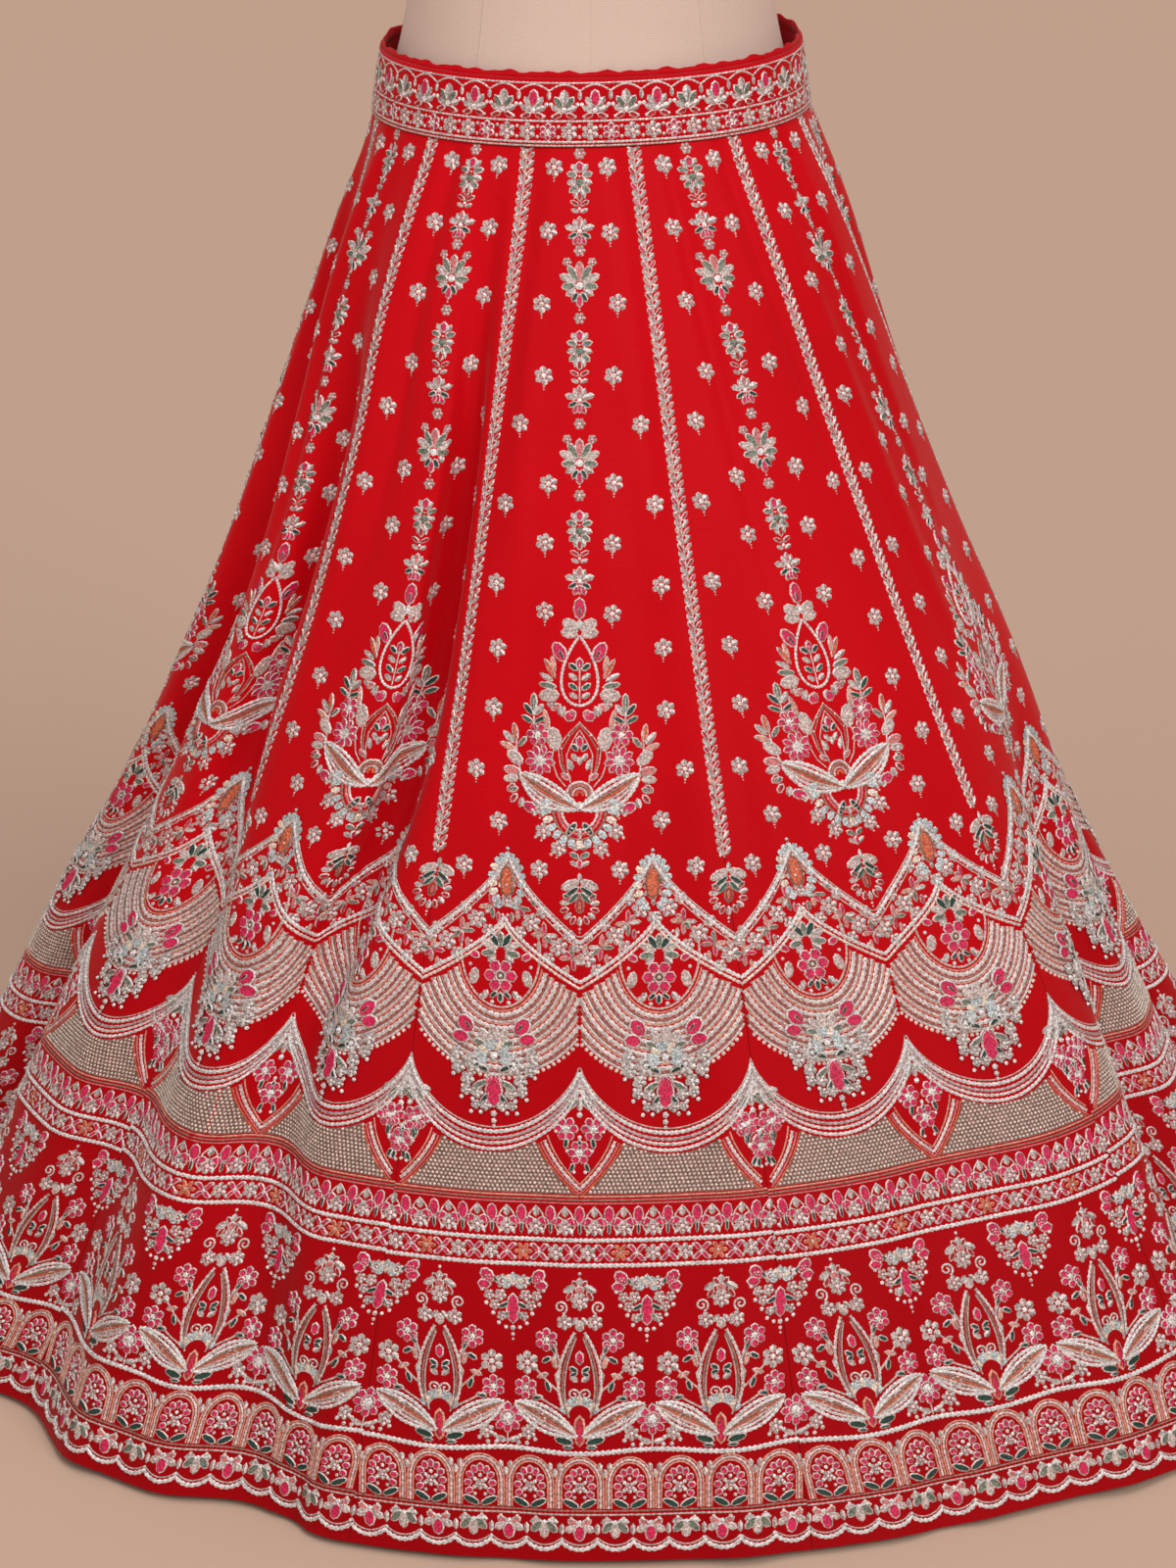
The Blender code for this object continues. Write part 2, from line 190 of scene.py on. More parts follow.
# ------------------------------------------------------------------------- threads
Thread = namedtuple("Thread", "red green blue shine")
THREADS = {name: Thread(*row) for name, row in {
    "silver": (238, 228, 226, 0.34),
    "zari": (222, 200, 194, 0.22),
    "white": (248, 244, 244, 0.10),
    # painted shade: a darker silver for the shaded half of satin petals
    "shaded_silver": (190, 176, 174, 0.30),
    "pearl": (252, 238, 228, 0.20),
    "crystal": (255, 255, 255, 0.30),
    "bronze": (172, 128, 114, 0.30),
    "ground": (146, 104, 94, 0.10),
    "pink": (230, 20, 90, 0.0),
    "rose": (230, 132, 134, 0.10),
    "peach": (238, 168, 148, 0.10),
    "orange": (232, 112, 74, 0.05),
    "red": (196, 8, 22, 0.0),
    "green": (40, 104, 86, 0.10),
    "dark_green": (18, 66, 54, 0.10),
    "grey_green": (128, 138, 122, 0.40),
    "ice": (206, 218, 222, 0.45),
    "warm": (252, 234, 218, 0.40),
    "mauve": (204, 182, 184, 0.35),
}.items()}


# ----------------------------------------------------------------- shape of the cloth
def smooth_curve(xs, ys, x):
    """A smooth curve through the points xs, ys that never overshoots, at x."""
    xs = np.asarray(xs, dtype=float)
    ys = np.asarray(ys, dtype=float)
    widths = np.diff(xs)
    slopes = np.diff(ys) / widths
    tangents = np.zeros(len(xs))
    same_way = slopes[:-1] * slopes[1:] > 0
    both = np.where(same_way, slopes[:-1] + slopes[1:], 1.0)
    tangents[1:-1] = np.where(same_way, 2 * slopes[:-1] * slopes[1:] / both, 0.0)
    tangents[0] = slopes[0]
    tangents[-1] = slopes[-1]
    i = int(np.clip(np.searchsorted(xs, x) - 1, 0, len(widths) - 1))
    t = (x - xs[i]) / widths[i]
    keep = (1 + 2 * t) * (1 - t) ** 2 * ys[i] + t * t * (3 - 2 * t) * ys[i + 1]
    lean = t * (1 - t) ** 2 * tangents[i] - t * t * (1 - t) * tangents[i + 1]
    return float(keep + widths[i] * lean)


def read_rings(rings, place):
    """Every size in a table of rings, read at a place given by its first column."""
    columns = list(zip(*rings))
    return [smooth_curve(columns[0], column, place) for column in columns[1:]]


def ring_outline(left, right, front, back, left_power, right_power, count=RING_POINTS):
    """Points round a ring, from the back, by the left, the front and the right."""
    turn = np.linspace(-pi, pi, count)
    side = np.where(turn < 0, left, right)
    power = 2.0 / np.where(turn < 0, left_power, right_power)
    depth = np.where(np.cos(turn) > 0, front, back)
    x = side * np.sign(np.sin(turn)) * np.abs(np.sin(turn)) ** power
    y = -depth * np.sign(np.cos(turn)) * np.abs(np.cos(turn)) ** power
    return x, y


def fold_depths(gores, down, fit):
    """How far the folds push the cloth in, at places round the skirt."""
    pushed = np.zeros(len(gores))
    for fold in FOLDS:
        middle = smooth_curve(FOLD_LEVELS, fold.places, down)
        depth = smooth_curve(FOLD_LEVELS, fold.depths, down) * (fit if fold.fitted else 1.0)
        away = ((gores - middle + GORES / 2) % GORES - GORES / 2) / fold.half_width
        pushed += depth * (0.5 + 0.5 * np.cos(pi * np.clip(away, -1, 1)))
    return pushed


def walk_round(gores, down, fit):
    """Fold depths, and the length of ring that the folded cloth covers so far."""
    pushed = fold_depths(gores, down, fit)
    width = GORE_TOP_WIDTH + GORE_FLARE * down
    slope = np.gradient(pushed, gores)
    steps = np.sqrt(np.maximum(width ** 2 - slope ** 2, (STEEPEST_SHARE * width) ** 2))
    covered = np.concatenate([[0], np.cumsum((steps[1:] + steps[:-1]) / 2)])
    return pushed, covered * (gores[1] - gores[0])


def folded_ring(gores, down):
    """Points of the folded cloth at one length down it, which fit its ring."""
    sizes = read_rings(RINGS, down)
    x, y = ring_outline(*sizes, LEFT_SQUARENESS, RIGHT_SQUARENESS)
    along = np.concatenate([[0], np.cumsum(np.hypot(np.diff(x), np.diff(y)))])
    length = along[-1]
    along -= along[len(along) // 2]
    low, high = 0.0, 2.0
    for _ in range(30):
        fit = (low + high) / 2
        pushed, covered = walk_round(gores, down, fit)
        low, high = (fit, high) if covered[-1] > length else (low, fit)
    covered *= length / covered[-1]
    covered += FRONT_SHIFT - covered[len(covered) // 2]
    covered = (covered - along[0]) % length + along[0]
    lean_x = np.interp(covered, along, np.gradient(x))
    lean_y = np.interp(covered, along, np.gradient(y))
    lean = np.hypot(lean_x, lean_y)
    px = np.interp(covered, along, x) - pushed * lean_y / lean
    py = np.interp(covered, along, y) + pushed * lean_x / lean
    fade = np.clip(1 - down / TILT_FADE, 0, 1) ** 2
    pz = WAIST_HEIGHT - down * cos(FLARE_ANGLE) + WAIST_TILT * fade * px
    return np.stack([px, py, pz], axis=1)


def outward_normals(points):
    """Outward normals of the closed skirt, whose first and last columns are one line."""
    wrapped = np.concatenate([points[:, -2:-1], points, points[:, 1:2]], axis=1)
    normals = np.cross(np.gradient(points, axis=0), wrapped[:, 2:] - wrapped[:, :-2])
    normals /= np.linalg.norm(normals, axis=2, keepdims=True)
    front = normals[0, points.shape[1] // 2, 1]
    return normals if front < 0 else -normals


def all_creases():
    """The creases that are listed, and similar ones on the hidden sides."""
    draw = Random(CREASE_SEED)
    creases = list(CREASES)
    for k in range(BACK_CREASES):
        gore = BACK_START + BACK_SPAN * (k + draw.random()) / BACK_CREASES
        top = draw.choice((0.0, 0.05, 0.3, 0.5, 0.66))
        bottom = min(top + draw.uniform(0.3, 0.5), CLOTH_LENGTH)
        half_width = 0.012 + 0.030 * top + 0.004 * draw.random()
        depth = draw.choice((-1, 1)) * draw.uniform(0.0016, 0.0032)
        creases.append(Crease(gore, gore + draw.uniform(-0.15, 0.15), top, bottom,
                              half_width, depth))
    return creases


class Cloth:
    """The outer surface of the skirt, read by gores round it and metres down it."""

    def __init__(self):
        gores = np.linspace(-GORES / 2, GORES / 2, FINE_COLUMNS)
        downs = np.linspace(0, CLOTH_LENGTH, SHELL_ROWS + 1)
        points = np.array([folded_ring(gores, down) for down in downs])
        pressed = self.crease_depths(gores, downs)
        points -= pressed[:, :, None] * outward_normals(points)
        self.normals = outward_normals(points)[:, ::FINER]
        self.points = points[:, ::FINER]

    @staticmethod
    def crease_depths(gores, downs):
        """How far the creases press the cloth in, at every gore and length down."""
        gores, downs = gores[None, :], downs[:, None]
        pressed = np.zeros((downs.size, gores.size))
        widths = GORE_TOP_WIDTH + GORE_FLARE * downs
        for crease in all_creases():
            share = (downs - crease.top) / (crease.bottom - crease.top)
            place = crease.top_gore + (crease.bottom_gore - crease.top_gore) * share
            away = (gores - place + GORES / 2) % GORES - GORES / 2
            reach = np.clip(away * widths / crease.half_width, -1, 1)
            fade = np.sin(pi * np.clip(share, 0, 1)) ** CREASE_FADE
            # Creases that start at the waist seam are sharp from the start.
            if crease.top <= NEAR_WAIST:
                fade = np.where(share < 0.5, np.clip(downs / NEAR_WAIST, 0, 1), fade)
            if crease.bottom >= NEAR_HEM:
                fade = np.where(share > 0.5, 1.0, fade)
            pressed += CREASE_RELIEF * crease.depth * (0.5 + 0.5 * np.cos(pi * reach)) * fade
        return pressed

    def at(self, gores, downs, lift):
        """Points on the faceted cloth, lifted off it by so many metres."""
        across = (np.asarray(gores) + GORES / 2) % GORES * SHELL_COLUMNS
        along = np.clip(np.asarray(downs) / CLOTH_LENGTH, 0, 1) * SHELL_ROWS
        c = np.minimum(across.astype(int), GORES * SHELL_COLUMNS - 1)
        r = np.minimum(along.astype(int), SHELL_ROWS - 1)
        s = (across - c)[..., None]
        t = (along - r)[..., None]
        place = between(self.points, r, c, s, t)
        return place + between(self.normals, r, c, s, t) * np.asarray(lift)[..., None]


# ------------------------------------------------------------------- mesh from arrays
def linear(part):
    """One part of a screen colour, 0 to 255, as light."""
    part = part / 255
    return part / 12.92 if part <= 0.04045 else ((part + 0.055) / 1.055) ** 2.4


def between(grid, r, c, s, t):
    """A grid of vectors, read between row r and the next, and column c and the next."""
    upper = grid[r, c] * (1 - s) + grid[r, c + 1] * s
    lower = grid[r + 1, c] * (1 - s) + grid[r + 1, c + 1] * s
    return upper * (1 - t) + lower * t


def add_piece(name, points, faces, material):
    """A smooth mesh object from points and faces, linked to the scene."""
    data = bpy.data.meshes.new(name)
    data.from_pydata(points, [], faces)
    data.materials.append(material)
    data.shade_smooth()
    data.update()
    piece = bpy.data.objects.new(name, data)
    bpy.context.scene.collection.objects.link(piece)
    return piece


def paint_corners(piece, colours):
    """Thread colours on the corners of a mesh: one colour for each triangle."""
    layer = piece.data.color_attributes.new("thread", "FLOAT_COLOR", "CORNER")
    layer.data.foreach_set("color", np.repeat(colours, 3, axis=0).astype(np.float32).ravel())


def wall_faces(rows, columns):
    """Faces of a closed wall between an outer and an inner grid of rows x columns."""
    grid = np.arange(rows * columns).reshape(rows, columns)
    quads = np.stack([grid[:-1, :-1], grid[1:, :-1], grid[1:, 1:], grid[:-1, 1:]], axis=-1)
    outer = quads.reshape(-1, 4)
    inner = outer[:, ::-1] + rows * columns
    edge = np.concatenate([grid[:, 0], grid[-1, 1:], grid[-2::-1, -1], grid[0, -2:0:-1]])
    after = np.roll(edge, -1)
    rim = np.stack([after, edge, edge + rows * columns, after + rows * columns], axis=-1)
    return np.concatenate([outer, inner, rim])


def band_faces(rows, columns):
    """Faces of a closed wall that goes all round: outer and inner grids, and both rims."""
    grid = np.arange(rows * columns).reshape(rows, columns)
    after = np.roll(grid, -1, axis=1)
    outer = np.stack([grid[:-1], after[:-1], after[1:], grid[1:]], axis=-1).reshape(-1, 4)
    inner = outer[:, ::-1] + rows * columns
    step = rows * columns
    low = np.stack([after[0], grid[0], grid[0] + step, after[0] + step], axis=-1)
    top = np.stack([grid[-1], after[-1], after[-1] + step, grid[-1] + step], axis=-1)
    return np.concatenate([outer, inner, low, top])


def add_wall(name, outer, inner, faces, flat, material):
    """A closed wall between two grids of points, with each point's place on the cut."""
    points = np.concatenate([outer.reshape(-1, 3), inner.reshape(-1, 3)])
    piece = add_piece(name, points.tolist(), faces.tolist(), material)
    layer = piece.data.uv_layers.new(name="cut")
    layer.data.foreach_set("uv", flat[faces.ravel()].astype(np.float32).ravel())
    return piece


def level_outward(points):
    """Level directions from the upright axis to points."""
    out = points * (1, 1, 0)
    return out / np.linalg.norm(out, axis=-1, keepdims=True)


# ------------------------------------------------------------ embroidery, worked flat
# The plan of a gore is in millimetres: x from its middle line, y down from the waist.
# A turn is in degrees: 0 points down the cloth, 90 to the right and 180 up. Every number
# in a motif or its table is such a place, turn or size.
def half_gore(y):
    """Half of a gore's width at a length down it."""
    return (GORE_TOP_WIDTH / 2 + GORE_FLARE / 2 * y / 1000) * 1000


def heading(turn):
    """Directions along a turn and to its left side."""
    angle = radians(turn)
    return (sin(angle), cos(angle)), (cos(angle), -sin(angle))


def resample(path, step):
    """The path again, with points a step apart."""
    path = np.asarray(path, dtype=float)
    along = np.concatenate([[0], np.cumsum(np.hypot(*np.diff(path, axis=0).T))])
    count = max(int(round(along[-1] / step)), 1) + 1
    places = np.linspace(0, along[-1], count)
    return np.stack([np.interp(places, along, path[:, k]) for k in (0, 1)], axis=1)


def mirrored(path, side):
    """The path, on the right (side 1) or mirrored on the left (side -1)."""
    return [(x * side, y) for x, y in path]


# Painted shade: the darker thread for the shaded half of each satin petal.
SHADED_HALF_THREAD = {"silver": "shaded_silver", "zari": "shaded_silver", "rose": "pink"}
BEAD_STEP = 0.65               # points along a string of beads, in bead sizes
BEAD_NECK = 0.62               # how narrow and low the string is between two beads
SEED_BEAD = 1.35               # smaller beads have fewer sides
LONG_PETAL = 11.0              # longer petals have more corners


def arc(x, y, reach_across, reach_down, reach, count):
    """A bow round x, y, to a turn of so many degrees on each side of straight down."""
    turns = [radians(-reach + 2 * reach * k / count) for k in range(count + 1)]
    return [(x + reach_across * sin(t), y + reach_down * cos(t)) for t in turns]


def leaf_outline(x, y, turn, length, width, corners, pointed=1.0, along=1.0, across=1.0):
    """A leaf's outline from x, y, or a smaller one inside it by shares along and across."""
    (dx, dy), (sx, sy) = heading(turn)
    ring = []
    for k in range(corners):
        t = 2 * pi * k / corners
        a = (0.5 - cos(t) / 2 * along) * length
        c = np.sign(sin(t)) * abs(sin(t)) ** pointed / 2 * width * across
        ring.append((x + dx * a + sx * c, y + dy * a + sy * c))
    return ring


def raised(outline, height):
    """An outline at a height over the silk."""
    return [(x, y, height) for x, y in outline]


def spokes(count):
    """Triangles from each edge of a ring to its middle, which comes after it."""
    return [(count, k, (k + 1) % count) for k in range(count)]


class Stitches:
    """Raised work on a flat plan: points with heights, and triangles with threads."""

    def __init__(self):
        self.points = []
        self.faces = []
        self.threads = []
        self.base = 0.0            # added to every height, for work laid over other work

    def add(self, points, faces, thread):
        """Points with heights in millimetres, and triangles that share one thread."""
        first = len(self.points)
        self.points.extend((x, y, z + self.base) for x, y, z in points)
        self.faces.extend((a + first, b + first, c + first) for a, b, c in faces)
        self.threads.extend([thread] * len(faces))

    def cord(self, path, width, thread, height=0.7, bead=0.0, step=3.0):
        """A laid thread along a path; with a bead size, a string of beads."""
        path = resample(path, bead * BEAD_STEP if bead else step)
        ways = np.gradient(path, axis=0)
        ways /= np.maximum(np.hypot(*ways.T), 1e-6)[:, None]
        points = []
        for k, ((x, y), (wx, wy)) in enumerate(zip(path.tolist(), ways.tolist())):
            pinch = BEAD_NECK if bead and k % 2 else 1.0
            half = width / 2 * pinch
            points.append((x + wy * half, y - wx * half, 0.0))
            points.append((x, y, height * pinch))
            points.append((x - wy * half, y + wx * half, 0.0))
        faces = []
        for k in range(0, len(points) - 3, 3):
            for a in (k, k + 1):
                faces.append((a, a + 1, a + 4))
                faces.append((a, a + 4, a + 3))
        self.add(points, faces, thread)

    def bead(self, x, y, radius, thread, height=None, sides=None):
        """A round bead, crystal or pearl."""
        height = radius if height is None else height
        sides = sides or (4 if radius < SEED_BEAD else 5)
        ring = [(x + radius * cos(2 * pi * k / sides), y + radius * sin(2 * pi * k / sides), 0)
                for k in range(sides)]
        self.add(ring + [(x, y, height)], spokes(sides), thread)

    def petal(self, x, y, turn, length, width, thread="silver", core="red", rim=1.15,
              pointed=1.0, height=0.8):
        """A petal or leaf that starts at x, y: a raised edge round a core."""
        if core == thread:
            self.satin(x, y, turn, length, width, thread, pointed, height * 1.3)
            return
        n = 8 if length > LONG_PETAL else 6
        (dx, dy), _ = heading(turn)
        outer = leaf_outline(x, y, turn, length, width, n, pointed)
        ridge = leaf_outline(x, y, turn, length, width, n, pointed,
                             max(1 - 2 * rim / length, 0.3), max(1 - 2 * rim / width, 0.15))
        rim_faces = []
        for k in range(n):
            after = (k + 1) % n
            rim_faces.append((k, after, n + after))
            rim_faces.append((k, n + after, n + k))
        self.add(raised(outer, 0.0) + raised(ridge, height), rim_faces, thread)
        # The core has its own corners, so that its edge stays crisp.
        middle = (x + dx * length / 2, y + dy * length / 2, height * 0.4)
        self.add(raised(ridge, height * 0.75) + [middle], spokes(n), core)

    def satin(self, x, y, turn, length, width, thread, pointed, height):
        """A solid petal of satin stitch, highest along its middle, with painted shade on one half.
        """
        corners = 8 if length > LONG_PETAL else 6
        (dx, dy), _ = heading(turn)
        ring = raised(leaf_outline(x, y, turn, length, width, corners, pointed), 0.0)
        middle = (x + dx * length * 0.55, y + dy * length * 0.55, height)
        half = corners // 2
        self.add(ring + [middle], spokes(corners)[:half], thread)
        # The second half is in a darker thread, as painted shade.
        self.add(ring + [middle], spokes(corners)[half:], SHADED_HALF_THREAD.get(thread, thread))

    def sequin(self, x, y, turn, length, width, thread):
        """A flat oval sequin, tipped up a little, with its highest point at its middle."""
        (dx, dy), (sx, sy) = heading(turn)
        ring = []
        for k in range(6):
            t = 2 * pi * (k + 0.5) / 6
            a = length / 2 * (1 - cos(t))
            c = width / 2 * sin(t)
            ring.append((x + dx * a + sx * c, y + dy * a + sy * c, 0.2 + 0.5 * a / length))
        middle = (x + dx * length / 2, y + dy * length / 2, 0.9)
        self.add(ring + [middle], spokes(6), thread)

    def ring(self, x, y, radius, width, thread, height=0.6, bead=0.0):
        """A thread or string of beads laid in a circle."""
        turns = [2 * pi * k / 24 for k in range(25)]
        path = [(x + radius * sin(t), y + radius * cos(t)) for t in turns]
        self.cord(path, width, thread, height, bead)

    def fill(self, xs, tops, bottom, thread, step, height):
        """A low ground from an edge, given at each x, down to a level line."""
        rows = max(int((bottom - min(tops)) / step), 1)
        points = [(x, top + (bottom - top) * r / rows, height)
                  for x, top in zip(xs, tops) for r in range(rows + 1)]
        faces = []
        for c in range(len(xs) - 1):
            for r in range(rows):
                a = c * (rows + 1) + r
                b = a + rows + 1
                faces.append((a, b, b + 1))
                faces.append((a, b + 1, a + 1))
        self.add(points, faces, thread)

    def arrays(self):
        """The work as arrays: points, triangles, and a colour for each triangle."""
        table = {name: (linear(t.red), linear(t.green), linear(t.blue), t.shine)
                 for name, t in THREADS.items()}
        colours = np.array([table[thread] for thread in self.threads])
        return np.array(self.points), np.array(self.faces), colours


# ------------------------------------------------------------------------ small motifs
BROAD_LEAF = 6.6               # wider silver ones are outlined round a duller core
BEADED_LEAF = 8                # longer silver ones carry a crystal
PLUMP = 1.12                   # leaves from the tables are this much wider
TINY_FLOWER = 6.5              # smaller ones have petals of one thread


def flower(work, x, y, radius, count, thread="silver", core="silver", eye="crystal", turn=0,
           eye_share=0.3):
    """A round flower: looped petals about a crystal."""
    width = 2 * pi * radius * 0.70 / count
    if radius < TINY_FLOWER and core in ("silver", "rose"):
        core = thread
    for k in range(count):
        angle = turn + 360 * k / count
        (dx, dy), _ = heading(angle)
        work.petal(x + dx * radius * 0.22, y + dy * radius * 0.22, angle, radius * 0.78, width,
                   thread, core, rim=min(1.0, width * 0.24), pointed=0.8)
    work.bead(x, y, radius * eye_share, eye, 1.3)


def florets(work, x, y, rows, thread="silver"):
    """Small five-petalled flowers from a table of places and sizes, on both sides of x."""
    for side in (-1, 1):
        for fx, fy, radius in rows:
            flower(work, x + side * fx, y + fy, radius, 5, thread)


def beads(work, x, y, rows, thread="silver"):
    """Beads from a table of places and sizes. Those off centre are mirrored."""
    for bx, by, radius in rows:
        for side in ((-1, 1) if bx else (1,)):
            work.bead(x + side * bx, y + by, radius, thread)


def sequin_fan(work, place, reach, middle, step, count, size, warm):
    """Oval sequins that fan out round a place; those whose numbers are given are warmer."""
    for k in range(count):
        turn = middle + step * (k - (count - 1) / 2)
        (dx, dy), _ = heading(turn)
        work.sequin(place[0] + dx * reach[0], place[1] + dy * reach[1], turn, *size,
                    "warm" if k in warm else "ice")


def butti(work, x, y, turn):
    """A scattered sprig: six looped petals with crystals, and a tiny tail."""
    flower(work, x, y, 7.2, 6, turn=turn)
    beads(work, x, y, ((0, 7.8, 1.1), (0, 9.8, 0.8)), "zari")


def leaf_pair(work, x, y, length, width, core, spread):
    """Two leaves that part upward from one point."""
    for side in (-1, 1):
        work.petal(x, y, side * (180 - spread), length, width, "silver", core, rim=1.0,
                   pointed=1.2)


def spiral(work, x, y, size, side, turn, width):
    """A curled silver volute that starts at x, y."""
    path = []
    (dx, dy), (sx, sy) = heading(turn)
    for k in range(22):
        t = k / 21
        angle = t * 2.9 * pi
        r = size * (1 - 0.78 * t) / 2
        a = size / 2 - r * cos(angle)
        c = side * r * sin(angle)
        path.append((x + dx * a + sx * c, y + dy * a + sy * c))
    work.cord(path, width, "silver", 0.8, step=2.0)


Leaf = namedtuple("Leaf", "x y turn length width core")


def work_leaves(work, rows, x, y):
    """Silver petals and leaves from a table, placed from x, y. Those off centre are mirrored."""
    for row in rows:
        leaf = Leaf(*row)
        width = leaf.width * PLUMP
        core = "zari" if leaf.core == "silver" and width > BROAD_LEAF else leaf.core
        for side in ((1,) if leaf.x == 0 and leaf.turn in (0, 180) else (-1, 1)):
            turn = side * leaf.turn
            work.petal(x + side * leaf.x, y + leaf.y, turn, leaf.length, width, "silver",
                       core, rim=min(1.3, width * 0.22), pointed=1.1)
            if leaf.core == "silver" and leaf.length > BEADED_LEAF:
                (dx, dy), _ = heading(turn)
                middle = leaf.length * 0.55
                work.bead(x + side * leaf.x + dx * middle, y + leaf.y + dy * middle, 1.25,
                          "crystal", 2.0)


def small_flower(work, x, y):
    """The spacer of the middle column: a six-petalled floret."""
    flower(work, x, y, 4.6, 6, "zari", turn=30)


BUD_LEAVES = (
    (0, 9, 180, 9, 6.5, "pink"), (0.5, 9, 140, 9, 5, "silver"), (1, 11, 105, 9, 5, "grey_green"),
    (1, 14, 75, 9, 5, "silver"), (1, 17, 48, 9, 5, "grey_green"), (0.5, 19, 22, 9, 4.6, "silver"),
    (0, 21, 0, 8.5, 4.6, "red"),
)


def bud(work, x, y):
    """A thistle bud: a pink tip over silver leaves about a smoky crystal."""
    work_leaves(work, BUD_LEAVES, x, y)
    work.bead(x, y + 15.5, 3.3, "grey_green", 1.8, 8)
    for k in range(8):
        (dx, dy), _ = heading(45 * k)
        work.bead(x + dx * 4.5, y + 15.5 + dy * 4.5, 0.9, "crystal")


def column_pair(work, x, y):
    """A pair of drooping leaves with a bead."""
    leaf_pair(work, x, y - 2, 8, 4.4, "red", 62)
    leaf_pair(work, x, y + 3, 7, 4, "silver", 66)
    work.bead(x, y, 1.4, "crystal")


CLUSTER_LEAVES = (
    (0, 9, 150, 9, 5, "silver"), (1, 9, 105, 10.5, 5.4, "silver"),
    (1, 11, 60, 8.5, 4.2, "dark_green"), (1, 13, 25, 8, 4.4, "pink"), (0, 8, 180, 9, 4.6, "rose"),
    (0, 12, 0, 8, 5, "pink"),
)


def cluster(work, x, y):
    """A knot of leaves, a dark green pair and three pink petals."""
    work_leaves(work, CLUSTER_LEAVES, x, y)
    work.bead(x, y + 10, 2.1, "crystal", 1.5)


LOTUS_LEAVES = (
    (0, 19, 180, 15, 7, "rose"), (1, 19, 148, 14, 6, "grey_green"),
    (2, 20, 116, 14, 6.4, "silver"), (2, 22, 86, 11.5, 6, "grey_green"),
    (2, 24, 58, 10, 5.2, "silver"), (1, 26, 30, 9, 4.6, "dark_green"), (0, 27, 0, 11, 5.6, "pink"),
)


def lotus(work, x, y):
    """A lotus crown: a fan of silver petals, two florets above and a pink tail."""
    work_leaves(work, LOTUS_LEAVES, x, y)
    work.bead(x, y + 22, 3.0, "crystal", 1.8, 8)
    florets(work, x, y, ((9, 5, 3.6),), "zari")
    work.bead(x, y + 39, 1.0, "silver")


COLUMN = (
    (small_flower, 4), (bud, 9), (column_pair, 43), (cluster, 49), (small_flower, 73),
    (lotus, 76), (small_flower, 121), (bud, 129), (column_pair, 164), (cluster, 169),
    (small_flower, 196), (lotus, 202), (small_flower, 247), (bud, 257), (column_pair, 292),
    (cluster, 298),
)


def leaf_strip(work):
    """The strip of paired leaves along the right seam, down to its closing bud."""
    stem = [(half_gore(y), y) for y in range(1, 512, 4)]
    work.cord(stem, 1.6, "zari", 0.8, bead=3.2)
    cores = ("red", "silver", "peach", "silver", "rose", "silver", "pink", "silver")
    for k in range(91):
        y = 4 + 5.6 * k
        x = half_gore(y)
        for side in (-1, 1):
            work.petal(x + side * 0.4, y, side * 146, 8.4, 3.9, "silver",
                       cores[(k * 3 + side) % len(cores)], rim=1.0)
            if k % 2 == (side > 0):
                work.bead(x + side * 2.8, y - 0.6, 1.25, "crystal")


PEACOCK_LEAVES = (
    (0, 6, 66, 15, 7, "silver"), (0, 10, 54, 15, 4.6, "dark_green"), (0, 14, 44, 12, 4.0, "green"),
)


def peacock_bud(work, x, y):
    """A hanging bud: satin cap, green chevrons and a ring of looped petals."""
    for k in range(11):
        turn = -125 + 25 * k
        (dx, dy), _ = heading(turn)
        work.petal(x + dx * 7.6, y + 24 + dy * 7.6, turn, 7.4, 4.8, "silver",
                   "silver" if k % 2 else "red", rim=1.0)
        work.bead(x + dx * 8.6, y + 24 + dy * 8.6, 1.1, "crystal")
    work_leaves(work, PEACOCK_LEAVES, x, y)
    work.petal(x, y + 8, 180, 8, 4, "silver", "silver")
    work.petal(x, y + 17, 0, 13, 8, "bronze", "red", rim=1.7)
    work.petal(x, y + 20, 0, 8, 3.2, "zari", "orange", rim=0.9)
    beads(work, x, y, ((0, 40.5, 1.3), (0, 43, 0.9)))


# ---------------------------------------------------------------------- the great motif
CROWN_LEAVES = (
    (0, 336, 180, 17, 9, "pink"), (0, 334, 180, 8, 3, "green"), (1, 344, 128, 14, 9, "silver"),
    (1, 346, 98, 13, 7.5, "silver"), (0, 343, 180, 8, 5, "crystal"),
    (10, 366, 150, 17, 9.5, "pink"), (11, 364, 150, 8, 3.4, "dark_green"),
    (17, 378, 150, 17, 4.4, "orange"), (18, 380, 118, 13, 4.4, "silver"),
    (18, 374, 172, 13, 4.2, "peach"), (16, 384, 100, 14, 5.4, "grey_green"),
    (14, 389, 84, 16, 9.5, "silver"), (13, 396, 60, 9, 5, "rose"), (10, 397, 40, 9, 5, "silver"),
    (2, 404, 84, 10, 8, "pink"), (2, 404, 120, 7, 5, "pink"),
)
STEM_LEAVES = (
    (0, 372, 180, 10, 6, "pink"), (1, 372, 128, 9, 5, "dark_green"),
    (1, 379, 126, 9, 4.6, "silver"), (1, 386, 126, 9, 4.6, "green"),
    (1, 392, 122, 8, 4.4, "silver"),
)
